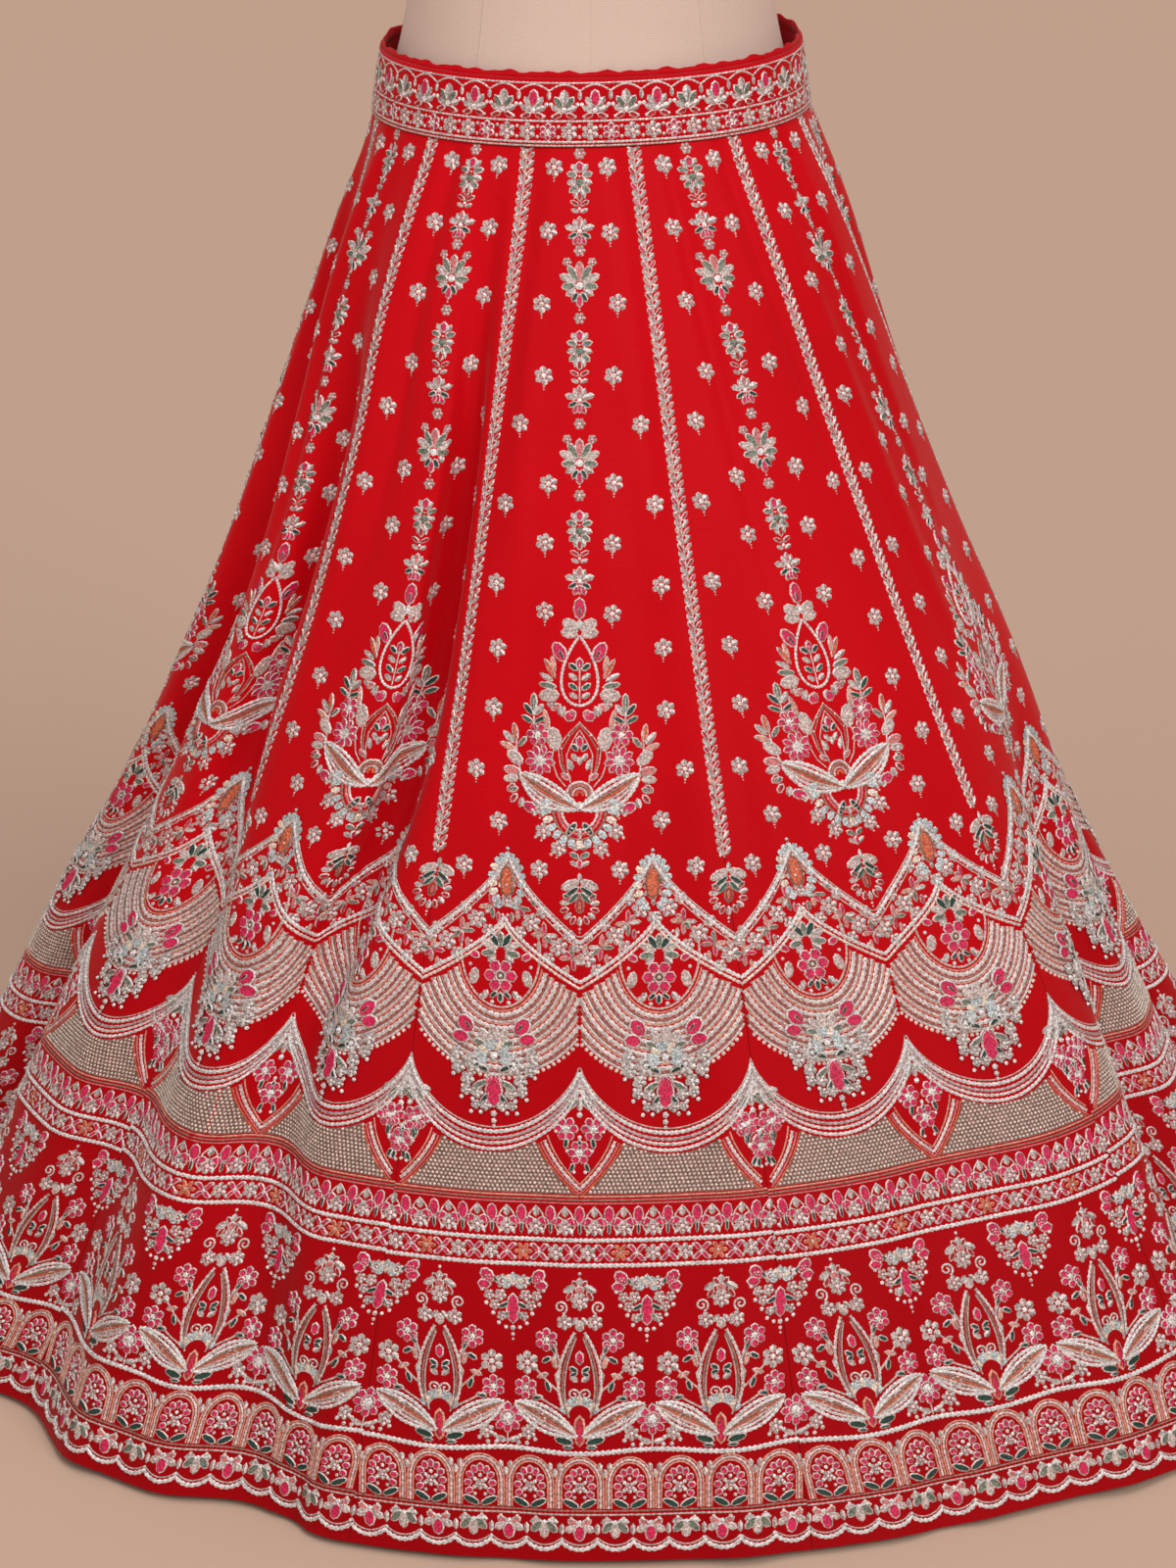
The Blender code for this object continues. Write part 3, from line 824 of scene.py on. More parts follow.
SIDE_LEAVES = (
    (33, 402, 180, 14, 5.6, "grey_green"), (33, 405, 140, 12, 5, "dark_green"),
    (33, 405, -140, 12, 5, "silver"), (33, 410, 118, 11, 4.6, "green"),
    (33, 410, -118, 11, 4.6, "dark_green"), (22, 416, 168, 17, 4.6, "peach"),
    (17, 430, 172, 18, 10.5, "silver"), (46, 424, 172, 14, 5, "orange"),
    (47, 426, 138, 13, 5, "silver"), (46, 430, 112, 13, 4.8, "peach"),
    (45, 428, -140, 11, 4.6, "grey_green"), (41, 440, 128, 15, 8.5, "silver"),
    (42, 446, 100, 14, 7, "rose"), (44, 450, 84, 12, 6, "silver"), (47, 454, 44, 9, 5, "red"),
    (44, 457, 74, 9, 5, "grey_green"), (45, 461, 40, 9, 5, "red"), (41, 463, 18, 9, 5, "silver"),
    (41, 468, -66, 12, 8, "pink"), (36, 470, -40, 8, 5, "silver"), (5, 444, 160, 10, 5, "silver"),
    (6, 450, 120, 9, 5, "rose"), (0, 428, 180, 10, 6, "pink"), (1, 430, 140, 8, 4.4, "dark_green"),
    (1, 437, 140, 8, 4.4, "silver"), (0, 440, 180, 7, 4, "silver"),
    (2, 480, 36, 13, 5.6, "dark_green"), (0, 484, 0, 9, 3.6, "silver"),
)


def teardrop(x, top, bottom, half):
    """A closed drop, pointed at its top and roundest below its middle."""
    path = []
    for k in range(41):
        t = 2 * pi * k / 40
        y = top + (bottom - top) * (1 - cos(t)) / 2
        path.append((x + half * 1.24 * sin(t) * abs(sin(t / 2)) ** 0.9, y))
    return path


def bead_leaf(work, x0, y0, x1, y1, width, arch):
    """A long leaf edged with white beads and filled with rows of beads."""
    length = hypot(x1 - x0, y1 - y0)
    dx, dy = (x1 - x0) / length, (y1 - y0) / length
    side = 1 if x1 > x0 else -1
    sx, sy = dy * side, -dx * side

    def edge(share):
        path = []
        for k in range(17):
            t = k / 16
            a = t * length
            c = width * share * sin(pi * t ** 0.9) ** 0.8 - arch * length * sin(pi * t)
            path.append((x0 + dx * a + sx * c, y0 + dy * a + sy * c))
        return path

    for share, thick, thread, height, size in (
            (0.5, 3.4, "white", 1.8, 3.0), (-0.5, 3.4, "white", 1.8, 3.0),
            (0.29, 3.2, "crystal", 1.3, 3.4), (-0.29, 3.0, "silver", 1.3, 3.4),
            (0.12, 2.4, "bronze", 1.0, 0.0), (-0.12, 2.2, "zari", 1.0, 0.0),
            (0.0, 1.6, "orange", 1.1, 0.0)):
        work.cord(edge(share), thick, thread, height, size)


def great_motif(work):
    """The tall bouquet at the foot of the middle column."""
    work_leaves(work, CROWN_LEAVES, 0, 0)
    work.cord(teardrop(0, 347, 397, 13.5), 2.6, "white", 1.6, 2.3)
    work.cord([(0, 366), (0, 395)], 1.2, "silver")
    work_leaves(work, STEM_LEAVES, 0, 0)
    florets(work, 0, 0, ((20, 396, 4.0), (13, 402, 3.2), (24, 389, 3.0)), "zari")
    bow = ((0, 411), (7, 419), (13, 429), (12, 440), (9, 449))
    for side in (-1, 1):
        for path, width, thread, height, size in (
                (((33, 392), (33, 412), (29, 420), (24, 440)), 1.3, "silver", 0.7, 0.0),
                (((46, 414), (46, 430), (43, 446), (38, 452)), 1.3, "silver", 0.7, 0.0),
                (((18, 425), (20, 436), (16, 448), (10, 455)), 1.2, "zari", 0.7, 0.0),
                (bow, 1.6, "bronze", 0.9, 2.0),
                ([(x * 0.72, y + 3.4) for x, y in bow], 1.1, "zari", 0.7, 0.0),
                ([(x * 1.18, y - 1.8) for x, y in bow], 1.1, "zari", 0.7, 0.0)):
            work.cord(mirrored(path, side), width, thread, height, size)
        flower(work, side * 30, 418, 9.0, 6, core="pink", turn=30)
        flower(work, side * 28.5, 436.5, 11.6, 9, "silver", "pink", "silver", 0, 0.40)
        work.ring(side * 28.5, 436.5, 5.6, 1.3, "silver", bead=2.2)
        for x, y in ((0, 409), (8, 418), (13, 428)):
            work.bead(side * x, y, 1.0, "crystal")
    work_leaves(work, SIDE_LEAVES, 0, 0)
    # Dome and shield under the crossing of the long leaves.
    for radius, thread in ((9.5, "silver"), (7.2, "bronze"), (5.0, "zari"), (2.6, "orange")):
        work.cord(arc(0, 461, radius, -radius, 100, 16), 2.1, thread)
    for share, thread in ((1.0, "bronze"), (0.82, "rose"), (0.68, "silver")):
        work.cord(arc(0, 471, 19 * share, 22 * share, 92, 20), 2.6, thread, 1.0, 2.6)
    sequin_fan(work, (0, 470), (20, 21.5), 0, 14, 15, (8.4, 5.6), (2, 7, 12))
    for side in (-1, 1):
        bead_leaf(work, side * 43, 447, side * 0.5, 471, 17, 0.05)
        for x, y in ((27, 471), (26, 487), (15, 499)):
            flower(work, side * x, y, 6.4, 6)
            work.bead(side * (x + 5.5), y + 4.6, 1.4, "silver")
            work.bead(side * (x + 1.5), y + 6.8, 1.0, "silver")
    work.bead(0, 468, 2.6, "white", 2.0, 8)
    for y, width, core in ((500, 5, "silver"), (506, 5.2, "grey_green"), (512, 4.4, "silver")):
        leaf_pair(work, 0, y, 8.5, width, core, 62)
    work.petal(0, 506, 0, 8, 5, "silver", "pink")


BUTTIS = (
    (18.6, 13), (21.5, 59), (27, 112), (25, 161), (43, 198), (23.5, 238), (53, 253),
    (24.5, 282), (59, 311), (24.5, 330), (59.5, 357), (61, 402), (76, 444), (58, 481),
    (28, 515), (84, 515),
)
BUTTI_SEED = 5


def scattered_buttis(work):
    """Buttis on the plain ground, on both sides of the middle column."""
    draw = Random(BUTTI_SEED)
    for x, y in BUTTIS:
        for side in (-1, 1):
            butti(work, side * x + draw.uniform(-1.2, 1.2), y + draw.uniform(-1.5, 1.5),
                  draw.uniform(-14, 14))


# -------------------------------------------------------------- first row of scallops
SWAG_TOP = 575.0
SWAG_INNER = (31.0, 42.0)
SWAG_PITCH = 9.4
SWAG_BANDS = 5
SWAG_STEEPEST = 112
LINE_STEP = 1.2                # between the points of a line across the gore


def across(u, y):
    """Distance from the gore's middle line, at a share of its width."""
    return 2 * half_gore(y) * u


def scallop_share(u):
    """0 at a peak of the scallops, of which a gore has two, and 1 at a valley."""
    return abs(u % 0.5 - 0.25) / 0.25


def upper_line(u, top=505.0, drop=62.0):
    """The beaded V line that closes the plain ground."""
    return top + drop * scallop_share(u) ** 0.74


def lower_line(u):
    """The second V line, over the swags."""
    return upper_line(u, 549.0, 46.0)


def straight(_share):
    """A line straight across, to be dropped to its place."""
    return 0.0


def full_line(level, drop):
    """A path right across the gore, whose level is a function of its share, and a drop."""
    count = int(2 * half_gore(level(0.0) + drop) / LINE_STEP)
    shares = [-0.5 + k / count for k in range(count + 1)]
    return [(across(u, level(u) + drop), level(u) + drop) for u in shares]


def full_cords(work, rows):
    """Cords right across the gore: line, drop, width, thread, height, bead and step."""
    for level, drop, width, thread, *rest in rows:
        work.cord(full_line(level, drop), width, thread, *rest)


def runs(path, allowed):
    """The stretches of a path, of three points or more, where it is allowed."""
    stretch = []
    for point in path:
        if allowed(*point):
            stretch.append(point)
            continue
        if len(stretch) > 2:
            yield stretch
        stretch = []
    if len(stretch) > 2:
        yield stretch


def swags(work, middle, share):
    """Hanging bands of beads round a medallion, cut off at the line above."""
    half = half_gore(620) / 2

    def allowed(x, y):
        u = x / (2 * half_gore(y))
        return y > lower_line(u) + 8 and abs(u - share) < 0.249

    for band in range(SWAG_BANDS):
        for offset, width, thread, height, size in (
                (0.3, 1.3, "peach", 0.6, 0.0), (3.2, 4.6, "silver", 1.3, 3.6),
                (6.2, 1.6, "bronze", 0.8, 0.0), (8.1, 2.1, "silver", 1.0, 0.0)):
            grow = band * SWAG_PITCH + offset
            path = arc(middle, SWAG_TOP, SWAG_INNER[0] + grow, SWAG_INNER[1] + grow,
                       SWAG_STEEPEST, 120)
            for stretch in runs(path, allowed):
                work.cord(stretch, width, thread, height, size, step=4.6)
    grow = SWAG_BANDS * SWAG_PITCH + 1.2
    for x, y in arc(middle, SWAG_TOP, SWAG_INNER[0] + grow, SWAG_INNER[1] + grow, 90, 59):
        if abs(x - middle) < half and allowed(x, y):
            work.bead(x, y, 1.7, "pearl")


def peak_ornament(work, x, y):
    """A drop of bronze beads in a fan of oval sequins."""
    work.petal(x, y + 38, 180, 26, 13, "bronze", "orange", rim=2.2, pointed=0.8, height=1.4)
    work.cord(teardrop(x, y + 13, y + 37, 4.2), 1.2, "peach")
    sequin_fan(work, (x, y + 26), (7.2, 14.5), 180, 18.75, 17, (7.6, 5.4), (11, 13, 14))
    work.bead(x, y + 2, 1.6, "ice")


PENDANT_LEAVES = (
    (0, 18, 180, 12, 6, "grey_green"), (1, 18, 146, 13, 6, "dark_green"),
    (2, 19, 112, 13, 6, "silver"), (3, 21, 80, 12, 6, "grey_green"), (3, 23, 52, 9, 5, "silver"),
    (15, 26, 120, 9, 6, "pink"), (18, 33, 12, 13, 7, "silver"), (9, 48, 30, 9, 5, "silver"),
    (0, 49, 0, 9, 5, "dark_green"), (2, 49, 48, 8, 4, "dark_green"),
)


def medallion_pendant(work, x, y):
    """A loop, a fan of leaves and a round pink flower, inside the swags."""
    work.ring(x, y + 3, 2.4, 1.0, "silver")
    work_leaves(work, PENDANT_LEAVES, x, y + 1)
    flower(work, x, y + 39, 12.6, 6, "silver", "pink", "grey_green", 30, 0.22)
    work.ring(x, y + 39, 3.7, 1.5, "silver", 1.6)
    work.bead(x, y + 39, 2.0, "crystal", 2.0)
    beads(work, x, y, ((22, 32, 1.6), (14, 54, 1.8), (6, 58, 1.8)))


TASSEL_LEAVES = (
    (15, 6, 140, 16, 11, "pink"), (17, 10, 98, 14, 9.6, "pink"), (16, 4, 142, 8, 3, "dark_green"),
    (0, 14, 180, 15, 8, "silver"), (3, 13, 148, 13, 6.6, "silver"),
    (5, 15, 116, 11, 6, "grey_green"), (3, 33, 118, 13, 5, "dark_green"),
    (4, 39, 60, 14, 5, "grey_green"), (3, 48, 38, 11, 4.6, "dark_green"),
    (0, 34, 0, 25, 12, "pink"), (1, 34, 26, 11, 4.8, "pink"),
)
TASSEL_FLORETS = ((27, 21, 5.2), (26, 31, 5.2), (19, 39, 5.4), (12, 48, 5.0), (20, 47, 4.4),
                  (6, 57, 4.6), (13, 57, 3.8))
OVER_SWAGS = 1.2


def rose(work, x, y, radius):
    """A round bloom of looped cord about a crystal."""
    flower(work, x, y, radius, 7, turn=20, eye_share=0.24)
    work.ring(x, y, radius * 0.5, 1.4, "white", 1.5)


def tassel_cluster(work, x, y):
    """The bouquet that hangs from the lowest point of each swag."""
    work.base = OVER_SWAGS
    florets(work, x, y, TASSEL_FLORETS)
    beads(work, x, y, [(bx + 3.4, by + 5.4, 1.7) for bx, by, _ in TASSEL_FLORETS], "crystal")
    work_leaves(work, TASSEL_LEAVES, x, y)
    sequin_fan(work, (x, y + 22), (4, 4), 180, 28, 9, (9, 6.4), (3, 6))
    work.bead(x, y + 22, 2.6, "crystal", 2.2, 8)
    for side in (-1, 1):
        rose(work, x + side * 14, y + 27, 8.4)
    beads(work, x, y, ((0, 63, 2.6), (0, 68, 2.2), (0, 72, 1.6)))
    work.base = 0.0


def garland(work):
    """Florets and crossed leaves between the two V lines."""
    cores = ("pink", "peach", "grey_green", "rose", "silver")
    count = 22
    for k in range(count):
        u = -0.5 + (k + 0.5) / count
        y = (upper_line(u) + lower_line(u)) / 2
        x = across(u, y)
        slope = (upper_line(u + 0.01) - upper_line(u - 0.01)) / across(0.02, y)
        turn = 90 + np.degrees(np.arctan(-slope))
        side_x, side_y = -slope / hypot(1, slope), 1 / hypot(1, slope)
        if k % 2:
            flower(work, x, y, 7.2, 6, turn=turn)
            for away in (-11, 11):
                flower(work, x + side_x * away, y + side_y * away, 5.0, 5, "silver", "rose")
            continue
        for j, lean in enumerate((-42, 42, 138, -138, 0, 180)):
            work.petal(x, y, turn + lean, 10 if j < 4 else 8, 4.4, "zari",
                       cores[(k + j) % 5], rim=1.0)
        for away in (-10, 10):
            work.petal(x + side_x * (away - 4), y + side_y * (away - 4), 0, 8, 4, "zari",
                       cores[(k + 1) % 5], rim=1.0)
            work.bead(x + side_x * away, y + side_y * away, 1.3, "crystal")


def first_scallops(work):
    """V lines, garland, medallions, swags and their clusters."""
    full_cords(work, (
        (upper_line, 0.0, 3.6, "white", 1.8, 3.0), (upper_line, -3.4, 1.2, "zari", 0.7, 0.0, 5.0),
        (lower_line, 0.0, 3.4, "white", 1.8, 3.0), (lower_line, 4.4, 2.6, "pearl", 1.2, 3.0),
        (upper_line, 4.6, 1.2, "zari", 0.7, 0.0, 5.0)))
    garland(work)
    for share in (-0.25, 0.25):
        middle = across(share, 590)
        swags(work, middle, share)
        peak_ornament(work, across(share, 520), 499)
        medallion_pendant(work, middle, 553)
        tassel_cluster(work, across(share, 660), 628)
        work.cord(arc(middle, SWAG_TOP, 28.6, 39.6, 118, 60), 2.2, "zari", 1.0, 2.4)


# --------------------------------------------------------- pearl ground and medallions
PEARL_FOOT = 747.0
PEARL_PITCH = 3.2
SHIELD_TOP, SHIELD_LENGTH, SHIELD_HALF = 694, 46, 25.0
WAVE_BORDER = 15               # width of the scalloped border over the pearls


def wave_line(u):
    """The round scallops over the pearl ground: cusps up at the middle and the seams."""
    s = abs(u) / 0.5
    return 657.0 + 47.0 * max(4 * s * (1 - s), 0.0) ** 0.72


def shield_half(y, grow):
    """Half width of the pointed medallion under each cusp."""
    t = (y - SHIELD_TOP) / (SHIELD_LENGTH + grow)
    return (SHIELD_HALF + grow) * (1 - max(t, 0.0) ** 1.9) if t < 1 else 0.0


def shield_edge(grow):
    """Right edge of a medallion, down to its point."""
    top, foot = SHIELD_TOP - 10, SHIELD_TOP + SHIELD_LENGTH + grow
    levels = [top + (foot - top) * k / 24 for k in range(25)]
    return [(shield_half(y, grow), y) for y in levels]


def pearl_top(u):
    """Upper edge of the pearl ground, which steps down round each medallion."""
    y = wave_line(u) + WAVE_BORDER
    for shield_share in (-0.5, 0.0, 0.5):
        away = abs(u - shield_share) * 2 * half_gore(715)
        if abs(u - shield_share) < 0.12:
            levels = [SHIELD_TOP + 60 * k / 24 for k in range(24)]
            y = max([y] + [level + 2.5 for level in levels if shield_half(level, 9) > away])
    return y


def pearl_ground(work):
    """Staggered pearls on a warm ground, with red medallions left open under the cusps."""
    count = 66
    shares = [-0.5 + k / count for k in range(count + 1)]
    tops = [min(pearl_top(u), PEARL_FOOT - 0.5) for u in shares]
    work.fill([across(u, 725) for u in shares], tops, PEARL_FOOT, "ground", 5.0, 0.35)
    row = 0
    y = 672.0
    while y < PEARL_FOOT - 1:
        half = half_gore(y)
        x = -half + PEARL_PITCH / 2 * (1 + row % 2)
        while x < half:
            if y > pearl_top(x / (2 * half)) + 0.6:
                work.bead(x * half_gore(725) / half, y, 1.55, "pearl", 1.5, 4)
            x += PEARL_PITCH
        y += PEARL_PITCH * 0.88
        row += 1


SHIELD_LEAVES = (
    (0, 676, 0, 12, 5, "silver"), (1, 678, 44, 13, 5, "grey_green"), (2, 677, 76, 12, 5, "silver"),
    (0, 716, 180, 9, 4.6, "dark_green"), (9, 706, 10, 9, 4.4, "dark_green"),
    (4, 724, 20, 8, 4, "dark_green"), (18, 692, 20, 8, 4.4, "rose"),
)


def shield(work, share):
    """A pointed red medallion with three pink flowers, under one cusp."""
    x0 = across(share, 715)
    work_leaves(work, SHIELD_LEAVES, x0, 0)
    for x, y in ((-9.8, 700), (9.8, 700), (0, 717)):
        flower(work, x0 + x, y, 9.4, 6, "silver", "pink", "crystal", 30, 0.34)
    beads(work, x0, 0, ((0, 690, 2.4), (0, 706, 1.8), (17, 702, 1.6), (9, 716, 1.6),
                        (4, 731, 1.5)), "crystal")

    def under_wave(x, y):
        u = x / (2 * half_gore(y))
        return y > wave_line(0.5 - u if share else u) + WAVE_BORDER

    for side in (-1, 1):
        if side * share > 0:
            continue               # the next gore has this half
        for grow, width, thread, size in ((0.0, 1.3, "peach", 0.0), (3.4, 3.2, "silver", 3.0),
                                          (6.6, 1.4, "rose", 0.0), (9.0, 1.4, "orange", 0.0)):
            edge = [(x0 + side * x, y) for x, y in shield_edge(grow) if under_wave(x, y)]
            work.cord(edge, width, thread, 0.9, size)


def second_scallops(work):
    """Round scallops, the pearl ground, the medallions and the lines under them."""
    full_cords(work, (
        (wave_line, 0.0, 3.6, "white", 1.8, 3.0), (wave_line, 12.5, 3.2, "white", 1.6, 3.0),
        (wave_line, 4.6, 3.0, "mauve", 1.1, 3.4), (wave_line, 8.2, 3.0, "silver", 1.1, 3.4),
        (wave_line, -3.2, 1.1, "zari", 0.7, 0.0, 5.0)))
    pearl_ground(work)
    for share in (-0.5, 0.0, 0.5):
        shield(work, share)
    full_cords(work, (
        (straight, 748.6, 1.5, "peach", 0.8, 0.0, 6.0),
        (straight, 751.2, 1.6, "bronze", 0.8, 0.0, 6.0),
        (straight, 753.6, 1.2, "rose", 0.8, 0.0, 6.0)))


# ------------------------------------------------------------------ borders to the hem
CELLS = 13
ARCHES = 9


def trefoil_band(work):
    """Pink trefoils on green stems, alternating with silver drops over florets."""
    for k in range(CELLS):
        x = across(-0.5 + (k + 0.5) / CELLS, 765)
        step = across(0.5 / CELLS, 765)
        work.petal(x, 768, 180, 13, 8.2, "silver", "pink", rim=1.0)
        for side in (-1, 1):
            work.petal(x + side * 0.6, 768.6, side * 112, 9.6, 7, "silver", "pink", rim=1.0)
            bow = ((step * 0.92, 757), (6, 761), (3, 770), (6, 775), (step * 0.5, 776.5))
            work.cord([(x + side * bx, by) for bx, by in bow], 1.3, "silver")
        work.petal(x, 776.5, 180, 9.5, 3.4, "silver", "dark_green", rim=0.9)
        flower(work, x + step, 771, 6.3, 6)
        work.petal(x + step, 764.5, 180, 9.5, 5.6, "silver", "silver")
        beads(work, x, 0, ((6, 774.4, 1.7),), "crystal")


def floral_band(work):
    """The narrow band of stars, crossed leaves and florets between two white lines."""
    count = 24
    for k in range(count):
        x = across(-0.5 + (k + 0.5) / count, 789)
        kind = k % 6
        if kind == 2:
            for j in range(6):
                work.petal(x, 789, 30 + 60 * j, 7.2, 3.8, "peach", "orange", rim=0.9)
            work.bead(x, 789, 1.6, "pearl")
        elif kind in (0, 4):
            flower(work, x, 789, 6.4, 6)
        else:
            for turn in (42, 138, -42, -138):
                work.petal(x, 789, turn, 8.6, 4.4, "silver", "pink", rim=1.0)
            work.bead(x, 789, 1.5, "crystal")
        for y in (784.4, 793.6):
            work.bead(x + across(0.5 / count, 789), y, 1.6, "silver")


FRINGE_LEAVES = (
    (14, 11, 138, 13, 9, "pink"), (15, 13, 96, 11, 7.6, "pink"), (11, 11, 144, 7, 3, "dark_green"),
    (0, 14, 180, 11, 6, "silver"), (2, 25, 64, 10, 4.2, "dark_green"),
    (2, 31, 42, 9, 4, "grey_green"), (0, 18, 0, 23, 9.6, "pink"),
)

FRINGE_FLORETS = ((9, 20, 4.8), (17, 20, 4.2), (13, 27, 4.2), (8, 35, 3.8), (18, 8, 3.4))


def fringe_pendant(work, x, y):
    """A hanging triangle of sequins, roses and florets with a pink tulip."""
    florets(work, x, y, FRINGE_FLORETS)
    beads(work, x, y, ((22, 16, 1.8), (19, 26, 1.8), (14, 33, 1.8), (10, 40, 1.7),
                       (5, 43, 1.7)), "crystal")
    work_leaves(work, FRINGE_LEAVES, x, y)
    sequin_fan(work, (x, y + 12), (1.5, 1.5), 180, 34, 7, (6.8, 5.2), (1, 4))
    for side in (-1, 1):
        rose(work, x + side * 7.5, y + 10, 5.6)
    beads(work, x, y, ((0, 43.5, 2.2), (0, 48, 1.7), (0, 51.5, 1.2)))


PLANT_LEAVES = (
    (0, 13, 180, 9, 5, "silver"), (1, 12, 140, 7, 4, "red"), (2, 10, 62, 12, 5, "silver"),
    (5, 14, 30, 9, 4.4, "red"), (0, 17, 180, 7, 7, "rose"), (0, 44, 180, 9, 7, "silver"),
    (1, 33, 40, 8, 4, "silver"), (0, 68, 180, 11, 6.6, "pink"), (1, 73, 122, 8, 4.6, "dark_green"),
    (1, 73, 70, 7, 4, "dark_green"), (1, 80, 128, 8, 4.6, "silver"),
    (17, 60, 158, 9, 4.6, "dark_green"), (20, 62, 60, 9, 4.6, "dark_green"),
    (17, 71, 166, 10, 4.2, "peach"), (22, 74, 70, 10, 4.2, "peach"),
    (21, 88, 160, 10, 4.6, "dark_green"), (26, 91, 80, 9, 4.2, "dark_green"),
    (15, 81, 170, 9, 4.4, "silver"), (15, 64, 150, 7, 4, "silver"),
)


def mandorla(half, top, bottom):
    """Right edge of a pointed arch that narrows a little to its foot."""
    return [(half * sin(pi * (0.06 + 0.70 * k / 20)) ** 0.9, top + (bottom - top) * k / 20)
            for k in range(21)]


def plant(work, x, y):
    """A flowering plant over two long beaded leaves. It is 130 mm tall."""
    work.bead(x, y + 2, 1.5, "silver")
    work_leaves(work, PLANT_LEAVES, x, y)
    flower(work, x, y + 22, 7.0, 7)
    edge = mandorla(15.5, y + 44, y + 101)
    for side in (-1, 1):
        spiral(work, x + side * 12, y + 31, 10, side, 160 * side, 1.7)
        flower(work, x + side * 11, y + 37, 6.2, 6, "silver", "rose")
        for share, width, thread, size in ((1.0, 3.0, "silver", 3.0), (0.81, 1.8, "bronze", 0.0),
                                           (0.70, 1.3, "zari", 0.0)):
            path = [(x + side * ex * share, ey + (1 - share) * 14) for ex, ey in edge]
            work.cord(path, width, thread, 1.2, size)
        spiral(work, x + side * 2, y + 93, 9.5, side, 150 * side, 1.6)
        for fx, fy, root, core in ((24, 50, 74, "pink"), (38, 67, 88, "silver"),
                                   (39, 85, 100, "pink")):
            stalk = [(14, root), (fx * 0.62, (root + fy) / 2 + 2), (fx - 5, fy + 3)]
            work.cord([(x + side * sx, y + sy) for sx, sy in stalk], 1.7, "zari")
            flower(work, x + side * fx, y + fy, 9.0, 6, "silver", core, eye_share=0.28)
        bead_leaf(work, x + side * 46.5, y + 96, x + side * 2, y + 119, 16.5, 0.0)
        work.petal(x + side * 4, y + 124, side * 104, 15, 6.8, "silver", "dark_green")
        work.petal(x + side * 4, y + 127, side * 92, 9, 3.6, "silver", "green", rim=0.9)
    sequin_fan(work, (x, y + 106), (8, 9), 180, 16, 9, (8, 5.2), (1, 4, 7))
    work.petal(x, y + 127, 180, 24, 10, "peach", "red", rim=2.0)
    work.petal(x, y + 125, 180, 18, 5.4, "orange", "pink", rim=0.9)


def little_plant(work, x, y):
    """The pink flower between silver volutes that fills the gap between two plants."""
    flower(work, x, y + 10, 12.0, 8, "silver", "pink", eye_share=0.34)
    work.ring(x, y + 10, 5.4, 1.3, "silver", 1.3)
    work.cord([(x, y + 20), (x, y + 29)], 1.4, "silver")
    leaf_pair(work, x, y + 27, 10, 5.4, "silver", 74)
    for side in (-1, 1):
        flower(work, x + side * 15, y + 20, 6.0, 6)
        spiral(work, x + side * 21, y + 15, 11, side, 150 * side, 2.0)
    beads(work, x, y, ((9, 23, 1.9), (8, 28, 1.9), (14, 28, 1.9), (20, 25, 1.9)))


def arch_band(work):
    """Pink fans under double beaded arches, with a silver trefoil between them."""
    for k in range(ARCHES):
        x = across(-0.5 + (k + 0.5) / ARCHES, 955)
        half = across(0.5 / ARCHES, 955)
        for share, width, thread, size in ((0.95, 1.5, "peach", 0.0), (0.84, 2.4, "silver", 3.2),
                                           (0.73, 1.4, "peach", 0.0)):
            reach = half * share
            bow = arc(x, 956, reach, -(reach + 3), 90, 20)
            work.cord([(x - reach, 973)] + bow + [(x + reach, 973)], width, thread, 0.9, size,
                      step=4.0)
        for j in range(9):
            turn = 180 + 116 * (j - 4) / 4
            (dx, dy), _ = heading(turn)
            work.petal(x + dx * 5.2, 957.5 + dy * 8.2, turn, 7.0, 5.6, "silver", "pink", rim=1.0,
                       pointed=0.8)
            if j % 2 == 0:
                work.bead(x + dx * 4.4, 957.5 + dy * 6.0, 1.7, "crystal")
        flower(work, x, 958, 4.4, 5)
        for side in (-1, 1):
            work.petal(x, 972.5, side * 116, 14, 6.2, "silver", "dark_green")
            work.bead(x + side * 3.6, 965, 1.5, "silver")
        for dx, y in ((0, 944), (-3.6, 939.5), (3.6, 939.5)):
            work.petal(x + half + dx, y, 0, 7.4, 5.2, "silver", "silver")


TULIP_LEAVES = (
    (0, 984, 0, 13, 8.6, "pink"), (1, 985, 118, 9, 5.6, "rose"), (1, 985, 66, 11, 6, "silver"),
)
HEM_LOTUS_LEAVES = (
    (0, 982, 0, 13, 7.4, "silver"), (1, 982, 46, 12, 6.6, "grey_green"),
    (1, 982, 84, 10, 5.4, "silver"),
)


def hem_line(u):
    """The scalloped line along the hem."""
    return 996 + 6.5 * sin(pi * ((u + 0.5) * CELLS % 1)) ** 0.6


def hem_band(work):
    """Tulips and lotuses over the scalloped white hem line."""
    for k in range(CELLS):
        x = across(-0.5 + (k + 0.5) / CELLS, 988)
        half = across(0.5 / CELLS, 988)
        work_leaves(work, HEM_LOTUS_LEAVES if k % 2 else TULIP_LEAVES, x, 0)
        work.bead(x, 983, 2.0, "crystal")
        beads(work, x, 0, ((6, 980, 1.6),), "pearl")
        work.petal(x + half, 983, 0, 9.5, 4.6, "silver", "silver", rim=0.9)
        work.bead(x + half, 995, 1.6, "white")
    full_cords(work, ((hem_line, 0.0, 4.0, "white", 2.0, 3.2), (hem_line, -3.2, 1.2, "zari")))


def wavy_line(u):
    """The white line between the plants and the arches."""
    return 932 + 1.6 * cos(2 * pi * u * 3)


